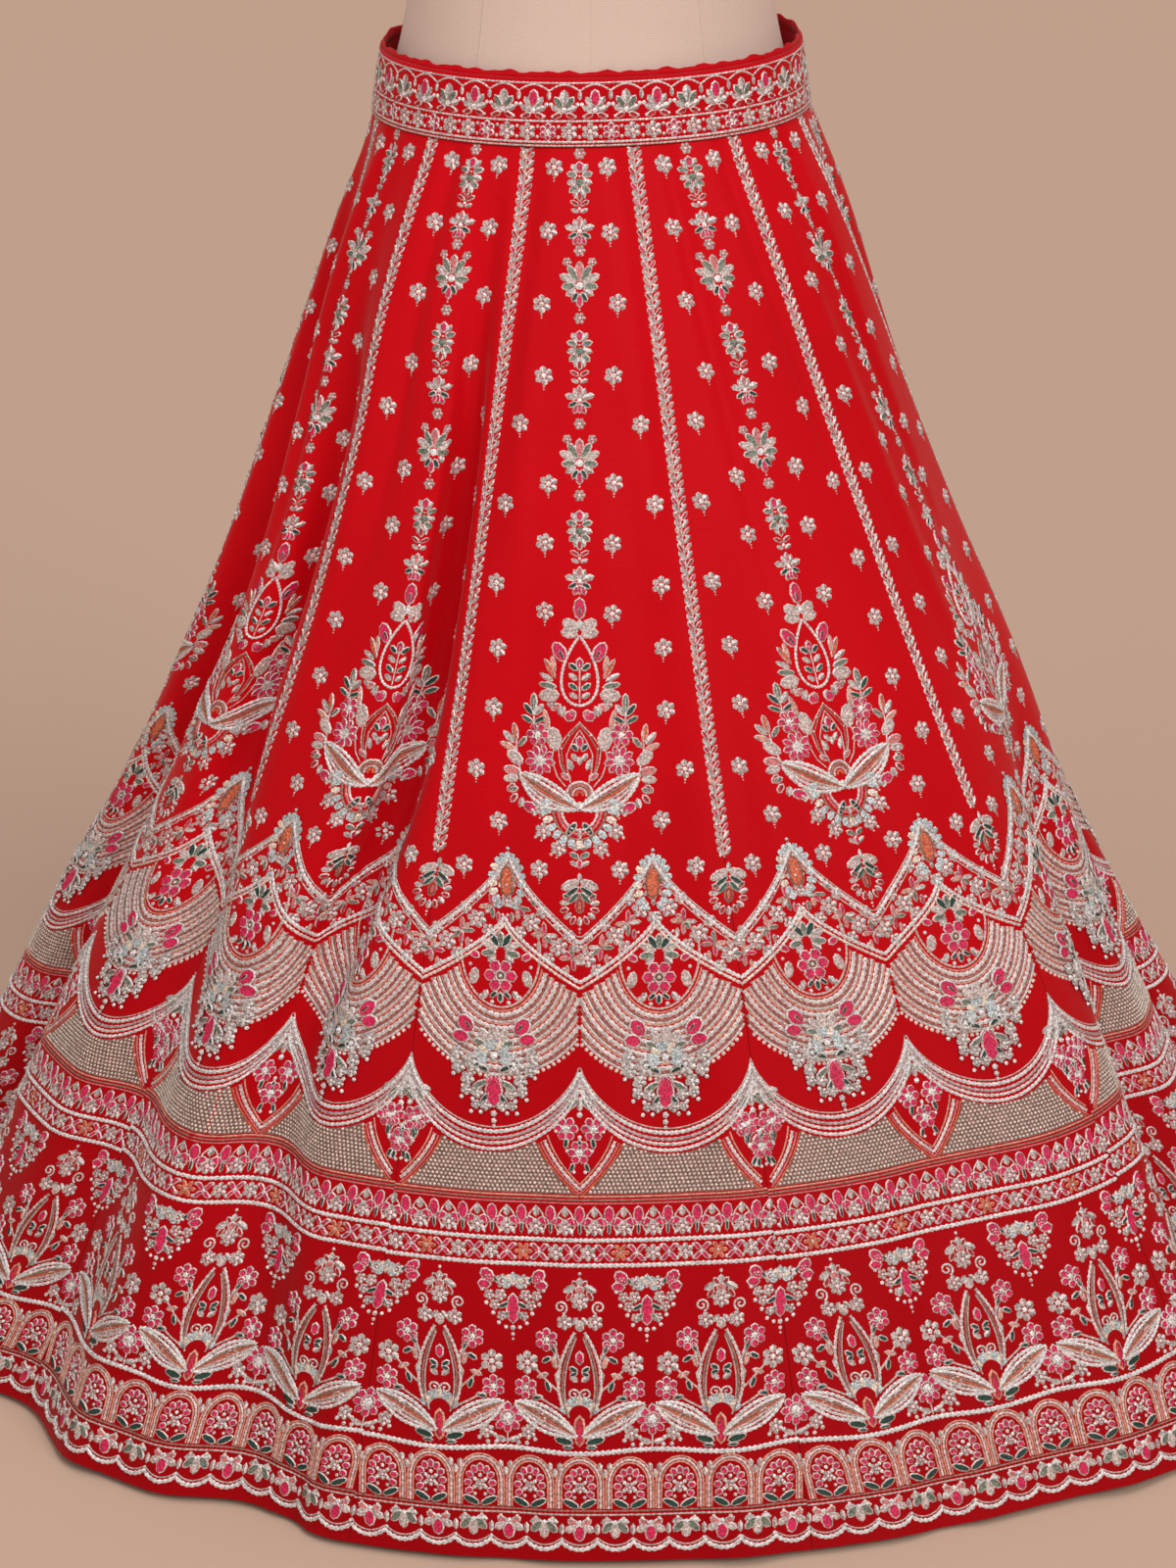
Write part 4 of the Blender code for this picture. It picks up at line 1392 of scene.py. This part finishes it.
def borders(work):
    """Everything from the pearl ground down to the hem."""
    trefoil_band(work)
    floral_band(work)
    for share in (-1 / 6, 1 / 6, 0.5):
        fringe_pendant(work, across(share, 825), 801)
        little_plant(work, across(share, 915), 899)
    for share in (-1 / 3, 0.0, 1 / 3):
        plant(work, across(share, 880), 802)
    arch_band(work)
    full_cords(work, (
        (straight, 780.0, 3.8, "white", 1.9, 3.0), (straight, 798.0, 3.8, "white", 1.9, 3.0),
        (wavy_line, 0.0, 4.4, "white", 2.2, 3.0), (straight, 974.6, 1.8, "bronze", 0.9, 3.0),
        (straight, 977.4, 1.8, "zari", 0.9, 3.0)))
    hem_band(work)


def gore_embroidery():
    """The whole design of one gore, worked flat."""
    work = Stitches()
    leaf_strip(work)
    for motif, y in COLUMN:
        motif(work, 0, y)
    peacock_bud(work, half_gore(532), 512)
    peacock_bud(work, 0, 516)
    great_motif(work)
    scattered_buttis(work)
    first_scallops(work)
    second_scallops(work)
    borders(work)
    return work


# ------------------------------------------------------------------------- waistband
def band_embroidery(pitch):
    """One repeat of the waistband: x along it and y down from its upper rim."""
    work = Stitches()
    half = pitch / 2
    quarter = pitch / 4
    for x0, core in ((-quarter, "pink"), (quarter, "silver")):
        bow = [(x0 - quarter + half * k / 12, 8.5 - 4.5 * sin(pi * k / 12)) for k in range(13)]
        work.cord(bow, 1.8, "silver", 0.9, 2.4)
        work.petal(x0 - quarter, 8, 0, 7.5, 4, "silver", "silver", rim=0.9)
        work.petal(x0, 20, 180, 13, 8.4, "silver", core, rim=1.2)
        for side in (-1, 1):
            work.petal(x0 + side, 21, side * 144, 11, 6, "silver",
                       "silver" if core == "pink" else "grey_green", rim=1.0)
            work.petal(x0 + side, 22.5, side * 108, 9.6, 5.4, "silver", "silver", rim=1.0)
            work.petal(x0 + side, 24, side * 66, 8.4, 5, "silver", "red", rim=1.0)
            work.bead(x0 + side * 9.8, 18, 1.8, "crystal")
            work.bead(x0 + side * 8.4, 26.4, 1.4, "silver")
        work.bead(x0, 22, 2.6, "crystal", 1.8)
    for k in range(3):
        x = -half + pitch * (k + 0.5) / 3
        flower(work, x, 37, 6.8, 6, "silver", "pink" if k == 1 else "silver")
        for y in (33.4, 40.6):
            work.bead(x + pitch / 6, y, 1.5, "silver")
    for y, width, thread, size in ((29.6, 2.0, "silver", 2.4), (44.2, 2.2, "silver", 2.6),
                                   (46.8, 1.8, "zari", 2.4), (3.0, 1.6, "silver", 2.4)):
        work.cord([(-half, y), (half, y)], width, thread, 0.9, size)
    return work


# ------------------------------------------------------------------------- materials
class Value:
    """A number socket in a node tree, for use in ordinary arithmetic."""

    def __init__(self, shader, socket):
        self.shader = shader
        self.socket = socket

    def maths(self, operation, first, second):
        """The outcome of one sum, as another number socket."""
        return self.shader.number("ShaderNodeMath", {"operation": operation},
                                  {0: first, 1: second})

    def __add__(self, other):
        return self.maths("ADD", self, other)

    def __sub__(self, other):
        return self.maths("SUBTRACT", self, other)

    def __rsub__(self, other):
        return self.maths("SUBTRACT", other, self)

    def __mul__(self, other):
        return self.maths("MULTIPLY", self, other)

    __radd__ = __add__
    __rmul__ = __mul__


SOCKETS = {
    "roughness": "Roughness", "metallic": "Metallic", "sheen_weight": "Sheen Weight",
    "sheen_roughness": "Sheen Roughness", "specular": "Specular IOR Level",
}


class Shader:
    """A material with a Principled shader, and short ways of adding nodes to it."""

    def __init__(self, name, **settings):
        self.material = bpy.data.materials.new(name)
        self.material.use_nodes = True
        self.tree = self.material.node_tree
        self.surface = self.tree.nodes["Principled BSDF"]
        for socket, value in settings.items():
            self.surface.inputs[SOCKETS[socket]].default_value = value
        self.place = self.node("ShaderNodeTexCoord").outputs["Object"]

    def node(self, kind, settings=None, inputs=None):
        """A node of one kind, with its settings first and then its sockets."""
        made = self.tree.nodes.new(kind)
        for name, value in (settings or {}).items():
            setattr(made, name, value)
        for socket, value in (inputs or {}).items():
            if isinstance(value, Value):
                value = value.socket
            if isinstance(value, bpy.types.NodeSocket):
                self.tree.links.new(value, made.inputs[socket])
            else:
                made.inputs[socket].default_value = value
        return made

    def number(self, kind, settings=None, inputs=None, output=0):
        """The number that a node gives."""
        return Value(self, self.node(kind, settings, inputs).outputs[output])

    def noise(self, place, scale, detail=2.0, roughness=0.5):
        """Soft noise from 0 to 1, at a scale in waves for each metre."""
        return self.number("ShaderNodeTexNoise", {}, {
            "Vector": place, "Scale": scale, "Detail": detail, "Roughness": roughness})

    def spread(self, value, start, end, low, high):
        """A number that goes from low to high as the value goes from start to end."""
        return self.number("ShaderNodeMapRange", {}, {
            "Value": value, "From Min": start, "From Max": end, "To Min": low, "To Max": high})

    def mix(self, factor, first, second, blend="MIX"):
        """A colour mixed from two."""
        made = self.node("ShaderNodeMix", {"data_type": "RGBA", "blend_type": blend}, {
            0: factor, 6: first, 7: second})
        return made.outputs[2]

    def stretch(self, place, scale):
        """The place, scaled on each axis."""
        made = self.node("ShaderNodeVectorMath", {"operation": "MULTIPLY"}, {
            0: place, 1: scale})
        return made.outputs[0]

    def feed(self, socket, value):
        """Link a value to one of the shader's sockets."""
        source = value.socket if isinstance(value, Value) else value
        self.tree.links.new(source, self.surface.inputs[socket])

    def bump(self, height, distance, strength=1.0):
        """Raise the surface by a height, in metres for each unit."""
        made = self.node("ShaderNodeBump", {}, {
            "Strength": strength, "Distance": distance, "Height": height})
        self.feed("Normal", made.outputs["Normal"])


def shade(colour, level):
    """A colour made lighter or darker, with its alpha."""
    return (*(min(part * level, 1.0) for part in colour[:3]), 1.0)


SLUB_WAVES = (26.0, 900.0, 1.0)     # waves to a metre across, along and through the silk
WARP_WAVES = (1600.0, 60.0, 1.0)
KNIT_WAVES = (900.0, 900.0, 1500.0)
HEM_SHADE_TOP, HEM_SHADE_FOOT = 0.56, 0.04      # heights between which painted shade darkens the silk
HEM_SHADE_SHARE, HEM_SHADE_LEVEL = 0.58, 0.30   # how much painted shade there is at the hem, and how dark
SEEDS_PER_METRE = 620.0             # seed beads in the finest beadwork
GLINTS_PER_METRE = 300.0


def silk_material(name, colour, weave):
    """Red silk with painted shade that darkens it toward the hem: fine weave, slubs and a soft
    sheen.
    """
    shader = Shader(name, roughness=0.50, specular=0.05, sheen_weight=0.10,
                    sheen_roughness=0.4)
    cut = shader.node("ShaderNodeUVMap", {"uv_map": "cut"}).outputs[0]
    slub = shader.noise(shader.stretch(cut, SLUB_WAVES), 1.0, 3.0, 0.6)
    warp = shader.noise(shader.stretch(cut, WARP_WAVES), 1.0, 2.0)
    cloud = shader.noise(shader.place, 6.0, 2.0)
    fine = slub * 0.6 + warp * 0.4
    height = shader.number("ShaderNodeSeparateXYZ", {}, {"Vector": shader.place}, 2)
    # Painted shade: the colour grows darker from the middle of the skirt down to the hem.
    painted_hem_shade = shader.spread(height, HEM_SHADE_TOP, HEM_SHADE_FOOT, 0.0, HEM_SHADE_SHARE)
    dyed = shader.mix(cloud * 0.7 + fine * 0.3, shade(colour, 0.80), shade(colour, 1.14))
    shader.feed("Base Color", shader.mix(painted_hem_shade, dyed, shade(colour, HEM_SHADE_LEVEL)))
    shader.feed("Roughness", 0.40 + 0.14 * slub)
    shader.bump(fine, weave)
    return shader.material


def thread_material():
    """Every thread, bead and sequin: its own colour, with painted shade round fine beads and
    painted glints.
    """
    shader = Shader("embroidery_thread", roughness=0.42, specular=0.5)
    dyed = shader.node("ShaderNodeAttribute", {"attribute_name": "thread"})
    bead_cells = shader.number("ShaderNodeTexVoronoi", {"feature": "F1"}, {
        "Vector": shader.place, "Scale": SEEDS_PER_METRE, "Randomness": 1.0})
    glint = shader.noise(shader.place, GLINTS_PER_METRE, 1.0)
    # Painted shade and highlight: each cell is bright in its middle and dark at its edge, like a
    # lit bead, and noise paints glints over it.
    level = shader.spread(bead_cells, 0.1, 0.75, 1.22, 0.52) * (0.62 + 0.76 * glint)
    grey = shader.node("ShaderNodeCombineColor", {}, {0: level, 1: level, 2: level}).outputs[0]
    shader.feed("Base Color", shader.mix(1.0, dyed.outputs["Color"], grey, "MULTIPLY"))
    shine = Value(shader, dyed.outputs["Alpha"])
    shader.feed("Metallic", shine * 0.8)
    shader.feed("Roughness", 0.50 - 0.26 * shine + 0.10 * glint)
    shader.bump(1 - bead_cells, 0.0006, 0.7)
    return shader.material


def cover_material(colour):
    """The form's cover: fine knitted jersey, a little uneven in tone."""
    shader = Shader("form_cover_jersey", roughness=0.85, sheen_weight=0.15,
                    sheen_roughness=0.5)
    knit = shader.noise(shader.stretch(shader.place, KNIT_WAVES), 1.0, 2.0)
    cloud = shader.noise(shader.place, 9.0, 2.0)
    shader.feed("Base Color", shader.mix(cloud * 0.6 + knit * 0.4, shade(colour, 0.9),
                                         shade(colour, 1.06)))
    shader.feed("Roughness", 0.78 + 0.14 * knit)
    shader.bump(knit, 0.0004)
    return shader.material


def metal_material(colour):
    """The stand's enamelled metal, with faint orange peel and rubbed patches."""
    shader = Shader("form_enamelled_metal", metallic=0.8, roughness=0.4)
    rub = shader.noise(shader.place, 34.0, 4.0, 0.6)
    peel = shader.noise(shader.place, 700.0, 1.0)
    shader.feed("Base Color", shader.mix(rub, shade(colour, 0.8), shade(colour, 1.5)))
    shader.feed("Roughness", 0.30 + 0.22 * rub)
    shader.bump(peel, 0.0002)
    return shader.material


def floor_material(colour):
    """A plain pale floor."""
    shader = Shader("studio_floor", roughness=0.9, specular=0.1)
    cloud = shader.noise(shader.place, 0.8, 2.0)
    shader.feed("Base Color", shader.mix(cloud, shade(colour, 0.985), shade(colour, 1.015)))
    return shader.material


# ---------------------------------------------------------------- sizes a user may set
class ClothSettings(bpy.types.PropertyGroup):
    """The silk of the skirt."""
    red: bpy.props.FloatVectorProperty(
        name="Silk", description="Colour of the gores", subtype="COLOR", size=3,
        min=0, max=1, default=(0.590, 0.0014, 0.0064))
    band: bpy.props.FloatVectorProperty(
        name="Band silk", description="Colour of the waistband", subtype="COLOR", size=3,
        min=0, max=1, default=(0.520, 0.0019, 0.0072))
    weave: bpy.props.FloatProperty(
        name="Weave", description="Height of the weave", unit="LENGTH", default=0.00035)


class EmbroiderySettings(bpy.types.PropertyGroup):
    """The raised work on the silk."""
    relief: bpy.props.FloatProperty(
        name="Relief", description="Height of the work against its drawn height",
        default=1.25, min=0.1, max=3.0)
    sink: bpy.props.FloatProperty(
        name="Sink", description="How far the work's edges are set into the silk",
        unit="LENGTH", default=0.00012)


class FormSettings(bpy.types.PropertyGroup):
    """The dress form."""
    cover: bpy.props.FloatVectorProperty(
        name="Cover", description="Colour of the jersey cover", subtype="COLOR", size=3,
        min=0, max=1, default=(0.690, 0.525, 0.445))
    metal: bpy.props.FloatVectorProperty(
        name="Metal", description="Colour of the stand", subtype="COLOR", size=3,
        min=0, max=1, default=(0.055, 0.052, 0.050))


class StudioSettings(bpy.types.PropertyGroup):
    """The floor, the lights and the camera."""
    floor: bpy.props.FloatVectorProperty(
        name="Floor", description="Colour of the floor", subtype="COLOR", size=3,
        min=0, max=1, default=(0.600, 0.420, 0.322))
    key: bpy.props.FloatProperty(
        name="Key light", description="Strength of the main light", default=1.30, min=0)
    panel: bpy.props.FloatProperty(
        name="Soft panel", description="Power of the near light, in watts", default=4.0, min=0)
    lens: bpy.props.FloatProperty(
        name="Lens", description="Focal length in millimetres", default=94.66)


# ------------------------------------------------------------------------- operators
def place_piece(piece, slot=None, *nodes):
    """Make a piece ride with the object, in place of some CAD nodes."""
    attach(piece, BODY)
    if nodes:
        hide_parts(*nodes)


CLOTH = Cloth()
MOST_TRIANGLES = 72000         # for the embroidery of one gore; for one gore, so that twelve stay under a million
GORE_DROPS = (0.0, 1.2, -0.8, 0.9, -1.3, 0.6, 1.0, -0.6, 1.4, -1.0, 0.8, -1.2)
DROP_STARTS = 440.0


def gore_places(number, flat):
    """Gores round the skirt and metres down it, for points on the plan of one gore."""
    x, y = flat[..., 0], flat[..., 1]
    drop = GORE_DROPS[number] * np.clip((y - DROP_STARTS) / 120, 0, 1)
    drop *= np.clip((CLOTH_LENGTH * 1000 - y) / 40, 0, 1)
    return number + x / (2 * half_gore(y)), (y + drop) / 1000


def make_gore(number, material):
    """One gore's cloth: a thin closed wall that follows its solid, with its creases."""
    downs = np.linspace(0, CLOTH_LENGTH, SHELL_ROWS + 1)
    margins = SEAM_GAP / 2 / (GORE_TOP_WIDTH + GORE_FLARE * downs)
    shares = np.linspace(-0.5, 0.5, SHELL_COLUMNS + 1)
    places = number + shares[None, :] * (1 - 2 * margins[:, None])
    levels = np.repeat(downs[:, None], SHELL_COLUMNS + 1, axis=1)
    outer = CLOTH.at(places, levels, np.zeros_like(levels))
    inner = CLOTH.at(places, levels, np.full_like(levels, -CLOTH_THICKNESS))
    flat = np.stack([shares[None, :] * (GORE_TOP_WIDTH + GORE_FLARE * levels), levels], axis=-1)
    piece = add_wall(f"silk_gore_{number + 1:02d}", outer, inner,
                     wall_faces(SHELL_ROWS + 1, SHELL_COLUMNS + 1),
                     np.tile(flat.reshape(-1, 2), (2, 1)), material)
    piece.data.set_sharp_from_angle(angle=SOFT_EDGE)
    place_piece(piece, "red_cloth", f"gore_{number + 1:02d}")
    return piece


class LEHENGA_OT_gores(bpy.types.Operator):
    """Make the twelve gores of silk"""
    bl_idname = "lehenga.gores"
    bl_label = "Silk gores"

    def execute(self, context):
        silk = context.scene.lehenga_cloth
        material = silk_material("red_silk", silk.red, silk.weave)
        for number in range(GORES):
            piece = make_gore(number, material)
        return {"FINISHED"}


class LEHENGA_OT_embroidery(bpy.types.Operator):
    """Lay the embroidery on every gore"""
    bl_idname = "lehenga.embroidery"
    bl_label = "Gore embroidery"

    def execute(self, context):
        settings = context.scene.lehenga_embroidery
        material = thread_material()
        points, faces, colours = gore_embroidery().arrays()
        if len(faces) > MOST_TRIANGLES:
            raise RuntimeError(f"one gore's embroidery has {len(faces)} triangles")
        lift = points[:, 2] / 1000 * settings.relief - settings.sink
        for number in range(GORES):
            gores, downs = gore_places(number, points[:, :2])
            laid = CLOTH.at(gores, downs, lift)
            piece = add_piece(f"embroidery_{number + 1:02d}", laid.tolist(), faces.tolist(),
                              material)
            paint_corners(piece, colours)
            place_piece(piece)
        return {"FINISHED"}


def band_point_rows(levels, lift):
    """Rings of the waistband at shares of its height, lifted off its outer face."""
    gores = np.linspace(-GORES / 2, GORES / 2, BAND_COLUMNS + 1)[:-1]
    ring = CLOTH.at(gores, np.zeros(BAND_COLUMNS), np.zeros(BAND_COLUMNS))
    out = level_outward(ring)
    rows = []
    for share in levels:
        spread = BAND_PROUD - share * BAND_DRAW_IN + lift
        rows.append(ring + out * spread + np.array((0, 0, SEAM_GAP + share * BAND_HEIGHT)))
    return np.array(rows)


class LEHENGA_OT_waistband(bpy.types.Operator):
    """Make the waistband, its raw upper edge and its embroidery"""
    bl_idname = "lehenga.waistband"
    bl_label = "Waistband"

    def execute(self, context):
        silk = context.scene.lehenga_cloth
        material = silk_material("band_silk", silk.band, silk.weave)
        levels = np.linspace(0, 1, BAND_ROWS + 1)
        outer = band_point_rows(levels, 0.0)
        inner = band_point_rows(levels, -BAND_THICKNESS)
        steps = np.hypot(*np.diff(np.vstack([outer[0], outer[:1, 0]])[:, :2], axis=0).T)
        around = np.concatenate([[0], np.cumsum(steps)])
        flat = np.stack([np.tile(around[:-1], BAND_ROWS + 1),
                         np.repeat(levels * BAND_HEIGHT, BAND_COLUMNS)], axis=-1)
        band = add_wall("silk_waistband", outer, inner, band_faces(BAND_ROWS + 1, BAND_COLUMNS),
                        np.tile(flat, (2, 1)), material)
        place_piece(band, "band_cloth", "waistband")
        self.embroider(outer, around)
        self.frill(material)
        return {"FINISHED"}

    @staticmethod
    def embroider(outer, around):
        """The band's repeats, laid on its faceted outer side."""
        pitch = around[-1] * 1000 / BAND_REPEATS
        points, faces, colours = band_embroidery(pitch).arrays()
        closed = np.concatenate([outer, outer[:, :1]], axis=1)
        out = level_outward(closed)
        all_points, all_faces = [], []
        for k in range(BAND_REPEATS):
            # The left edge of the plan is to the left, as seen from outside.
            where = np.mod((k + 0.5) * pitch + points[:, 0], around[-1] * 1000) / 1000
            column = np.interp(where, around, np.arange(len(around)))
            row = np.clip(1 - points[:, 1] / 1000 / BAND_HEIGHT, 0, 1) * BAND_ROWS
            c = np.minimum(column.astype(int), len(around) - 2)
            r = np.minimum(row.astype(int), BAND_ROWS - 1)
            base = between(closed, r, c, (column - c)[:, None], (row - r)[:, None])
            all_points.append(base + out[r, c] * (points[:, 2:] / 1000 - BAND_SINK))
            all_faces.append(faces + k * len(points))
        piece = add_piece("waistband_embroidery", np.concatenate(all_points).tolist(),
                          np.concatenate(all_faces).tolist(),
                          bpy.data.materials["embroidery_thread"])
        paint_corners(piece, np.tile(colours, (BAND_REPEATS, 1)))
        place_piece(piece)

    @staticmethod
    def frill(material):
        """The raw, slightly ruffled edge that stands above the band."""
        around = np.linspace(0, 2 * pi, BAND_COLUMNS, endpoint=False)
        ruffle = (np.sin(around * 23 + 1) + np.sin(around * 37) + np.sin(around * 61 + 2)) / 3
        low, high = band_point_rows(FRILL_LEVELS, -BAND_THICKNESS - 0.0003)
        out = level_outward(high)
        high = high + np.array((0, 0, 1)) * (FRILL_RISE + FRILL_WAVE * ruffle[:, None])
        high = high + out * FRILL_LEAN * np.roll(ruffle, 2)[:, None]
        outer = np.array([low, (low + high) / 2, high])
        inner = outer - out[None] * FRILL_THICKNESS
        flat = np.concatenate([outer.reshape(-1, 3), inner.reshape(-1, 3)])[:, ::2]
        piece = add_wall("waist_edge", outer, inner, band_faces(3, BAND_COLUMNS), flat, material)
        place_piece(piece, "band_cloth")


def form_ring(height, count):
    """Points round the form at a height, with the angle of each."""
    side, front, back = read_rings(FORM_RINGS, height)
    x, y = ring_outline(side, side, front, back, 2.0, 2.0, count + 1)
    return np.stack([x[:-1] + FORM_SHIFT, y[:-1], np.full(count, height)], axis=1)


class LEHENGA_OT_form(bpy.types.Operator):
    """Make the form's covered torso with its panel seams, and finish the stand"""
    bl_idname = "lehenga.form"
    bl_label = "Dress form"

    def execute(self, context):
        settings = context.scene.lehenga_form
        cover = cover_material(settings.cover)
        low, high = FORM_RINGS[0].height, FORM_RINGS[-1].height
        heights = np.linspace(low, high, FORM_ROWS + 1)
        rings = np.array([form_ring(height, FORM_COLUMNS) for height in heights])
        points = rings.reshape(-1, 3)
        grid = np.arange(len(points)).reshape(FORM_ROWS + 1, FORM_COLUMNS)
        after = np.roll(grid, -1, axis=1)
        faces = np.stack([grid[:-1], after[:-1], after[1:], grid[1:]], axis=-1)
        faces = faces.reshape(-1, 4).tolist()
        faces.append(grid[0][::-1].tolist())
        faces.append(grid[-1].tolist())
        torso = add_piece("jersey_torso", points.tolist(), faces, cover)
        torso.data.set_sharp_from_angle(angle=SOFT_EDGE)
        place_piece(torso, "form_cover", "form_torso")
        self.seams(cover, heights)
        metal = metal_material(settings.metal)
        for name in ("form_neck_cap", "form_knob", "form_pole", "form_collar", "form_base"):
            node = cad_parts[name]
            node.data.materials.clear()
            node.data.materials.append(metal)
            node.data.shade_smooth()
            node.data.set_sharp_from_angle(angle=radians(35))
        return {"FINISHED"}

    @staticmethod
    def seams(material, heights):
        """Narrow raised seams down the torso, between its panels."""
        points, faces = [], []
        turns = np.linspace(-pi, pi, 1441)
        for turn in FORM_SEAM_TURNS:
            first = len(points)
            for height in heights[2:-1]:
                side, front, back = read_rings(FORM_RINGS, height)
                x, y = ring_outline(side, side, front, back, 2.0, 2.0, len(turns))
                away = FORM_SEAM_WIDTH / 2 / side
                for nudge, rise in ((-away, -0.0003), (0.0, 0.0006), (away, -0.0003)):
                    k = turn + nudge
                    px, py = np.interp(k, turns, x), np.interp(k, turns, y)
                    scale = 1 + rise / hypot(px, py)
                    points.append((px * scale + FORM_SHIFT, py * scale, height))
            for r in range(len(heights) - 4):
                a = first + 3 * r
                for b in (a, a + 1):
                    faces.append((b, b + 1, b + 4, b + 3))
        piece = add_piece("torso_seams", points, faces, material)
        place_piece(piece, "form_cover")


FLOOR_FLAT = 6.0
FLOOR_RIM = 3.0
FLOOR_SIDES = 96
SOFTNESS = radians(32)         # how wide each distant light looks from the skirt
Lamp = namedtuple("Lamp", "name place share colour")
LAMPS = [Lamp(*row) for row in (
    ("key", (1.9, -2.5, 2.4), 1.0, (1.0, 0.97, 0.94)),
    ("fill", (-2.2, -2.4, 1.8), 0.28, (1.0, 0.98, 0.96)),
    ("top", (0.2, 0.9, 3.6), 0.30, (1.0, 1.0, 1.0)),
)]
PANEL_PLACE = (-0.2, -0.9, 1.75)
PANEL_AIM = (0.0, -0.2, 0.7)
PANEL_SIZE = 0.9
GLOW_COLOUR = (1.0, 0.96, 0.93, 1.0)
GLOW = 0.44
CAMERA_PLACE = (0.0, -3.0, 1.69)
CAMERA_AIM = (0.0, 0.0, 0.394)


class LEHENGA_OT_stage(bpy.types.Operator):
    """Make the floor, the soft lights and the camera"""
    bl_idname = "lehenga.stage"
    bl_label = "Studio"

    def execute(self, context):
        settings = context.scene.lehenga_studio
        self.floor(settings.floor)
        for lamp in LAMPS:
            # A wide, soft light that reaches the skirt and the floor alike.
            data = bpy.data.lights.new(lamp.name, "SUN")
            data.energy = settings.key * lamp.share
            data.color = lamp.colour
            data.angle = SOFTNESS
            self.aimed(lamp.name, data, lamp.place, (0.0, 0.0, 0.0))
        # A square soft light near the waist, so that the skirt darkens to its hem.
        data = bpy.data.lights.new("soft panel", "AREA")
        data.energy = settings.panel
        data.size = PANEL_SIZE
        self.aimed("soft panel", data, PANEL_PLACE, PANEL_AIM)
        world = bpy.data.worlds.new("studio")
        world.use_nodes = True
        backdrop = world.node_tree.nodes["Background"]
        backdrop.inputs["Color"].default_value = GLOW_COLOUR
        backdrop.inputs["Strength"].default_value = GLOW
        context.scene.world = world
        context.scene.view_settings.view_transform = "Standard"
        # A long lens a little above the waist, looking down at the skirt.
        data = bpy.data.cameras.new("camera")
        data.lens = settings.lens
        bpy.context.scene.camera = self.aimed("camera", data, CAMERA_PLACE, CAMERA_AIM)
        return {"FINISHED"}

    @staticmethod
    def floor(colour):
        """A round floor whose edge sweeps up far behind everything."""
        profile = [(FLOOR_FLAT * k / 6, 0.0) for k in range(1, 7)]
        profile += [(FLOOR_FLAT + FLOOR_RIM * sin(pi / 2 * k / 16),
                     FLOOR_RIM * (1 - cos(pi / 2 * k / 16))) for k in range(1, 17)]
        turns = [2 * pi * k / FLOOR_SIDES for k in range(FLOOR_SIDES)]
        points = [(r * cos(t), r * sin(t), z) for r, z in profile for t in turns]
        faces = []
        for row in range(len(profile) - 1):
            for k in range(FLOOR_SIDES):
                a = row * FLOOR_SIDES + k
                b = row * FLOOR_SIDES + (k + 1) % FLOOR_SIDES
                faces.append((a, a + FLOOR_SIDES, b + FLOOR_SIDES, b))
        faces.append(tuple(range(FLOOR_SIDES)))
        piece = add_piece("studio_floor", points, faces, floor_material(colour))

    @staticmethod
    def aimed(name, data, place, aim):
        """A light or camera at a place, aimed at a point."""
        made = bpy.data.objects.new(name, data)
        made.location = place
        way = Vector(aim) - made.location
        made.rotation_euler = way.to_track_quat("-Z", "Y").to_euler()
        bpy.context.scene.collection.objects.link(made)
        return made


OPERATORS = (LEHENGA_OT_stage, LEHENGA_OT_gores, LEHENGA_OT_embroidery,
             LEHENGA_OT_waistband, LEHENGA_OT_form)


class LEHENGA_PT_panel(bpy.types.Panel):
    """The skirt's pieces and settings, in the sidebar"""
    bl_idname = "LEHENGA_PT_panel"
    bl_label = "Lehenga skirt"
    bl_space_type = "VIEW_3D"
    bl_region_type = "UI"
    bl_category = "Lehenga"

    def draw(self, context):
        layout = self.layout
        for settings in SETTINGS:
            group = getattr(context.scene, settings)
            box = layout.box()
            for name in group.__annotations__:
                box.prop(group, name)
        for operator in OPERATORS:
            layout.operator(operator.bl_idname)


SETTINGS = {
    "lehenga_cloth": ClothSettings,
    "lehenga_embroidery": EmbroiderySettings,
    "lehenga_form": FormSettings,
    "lehenga_studio": StudioSettings,
}


def register():
    """Register every class, and hang the settings on the scene."""
    for name, group in SETTINGS.items():
        bpy.utils.register_class(group)
        setattr(bpy.types.Scene, name, bpy.props.PointerProperty(type=group))
    for operator in OPERATORS:
        bpy.utils.register_class(operator)
    bpy.utils.register_class(LEHENGA_PT_panel)


def unregister():
    """Undo register."""
    bpy.utils.unregister_class(LEHENGA_PT_panel)
    for operator in reversed(OPERATORS):
        bpy.utils.unregister_class(operator)
    for name, group in SETTINGS.items():
        delattr(bpy.types.Scene, name)
        bpy.utils.unregister_class(group)


def main():
    """Build every piece in order."""
    register()
    for operator in OPERATORS:
        group, name = operator.bl_idname.split(".")
        getattr(getattr(bpy.ops, group), name)()


if __name__ == "__main__":
    main()
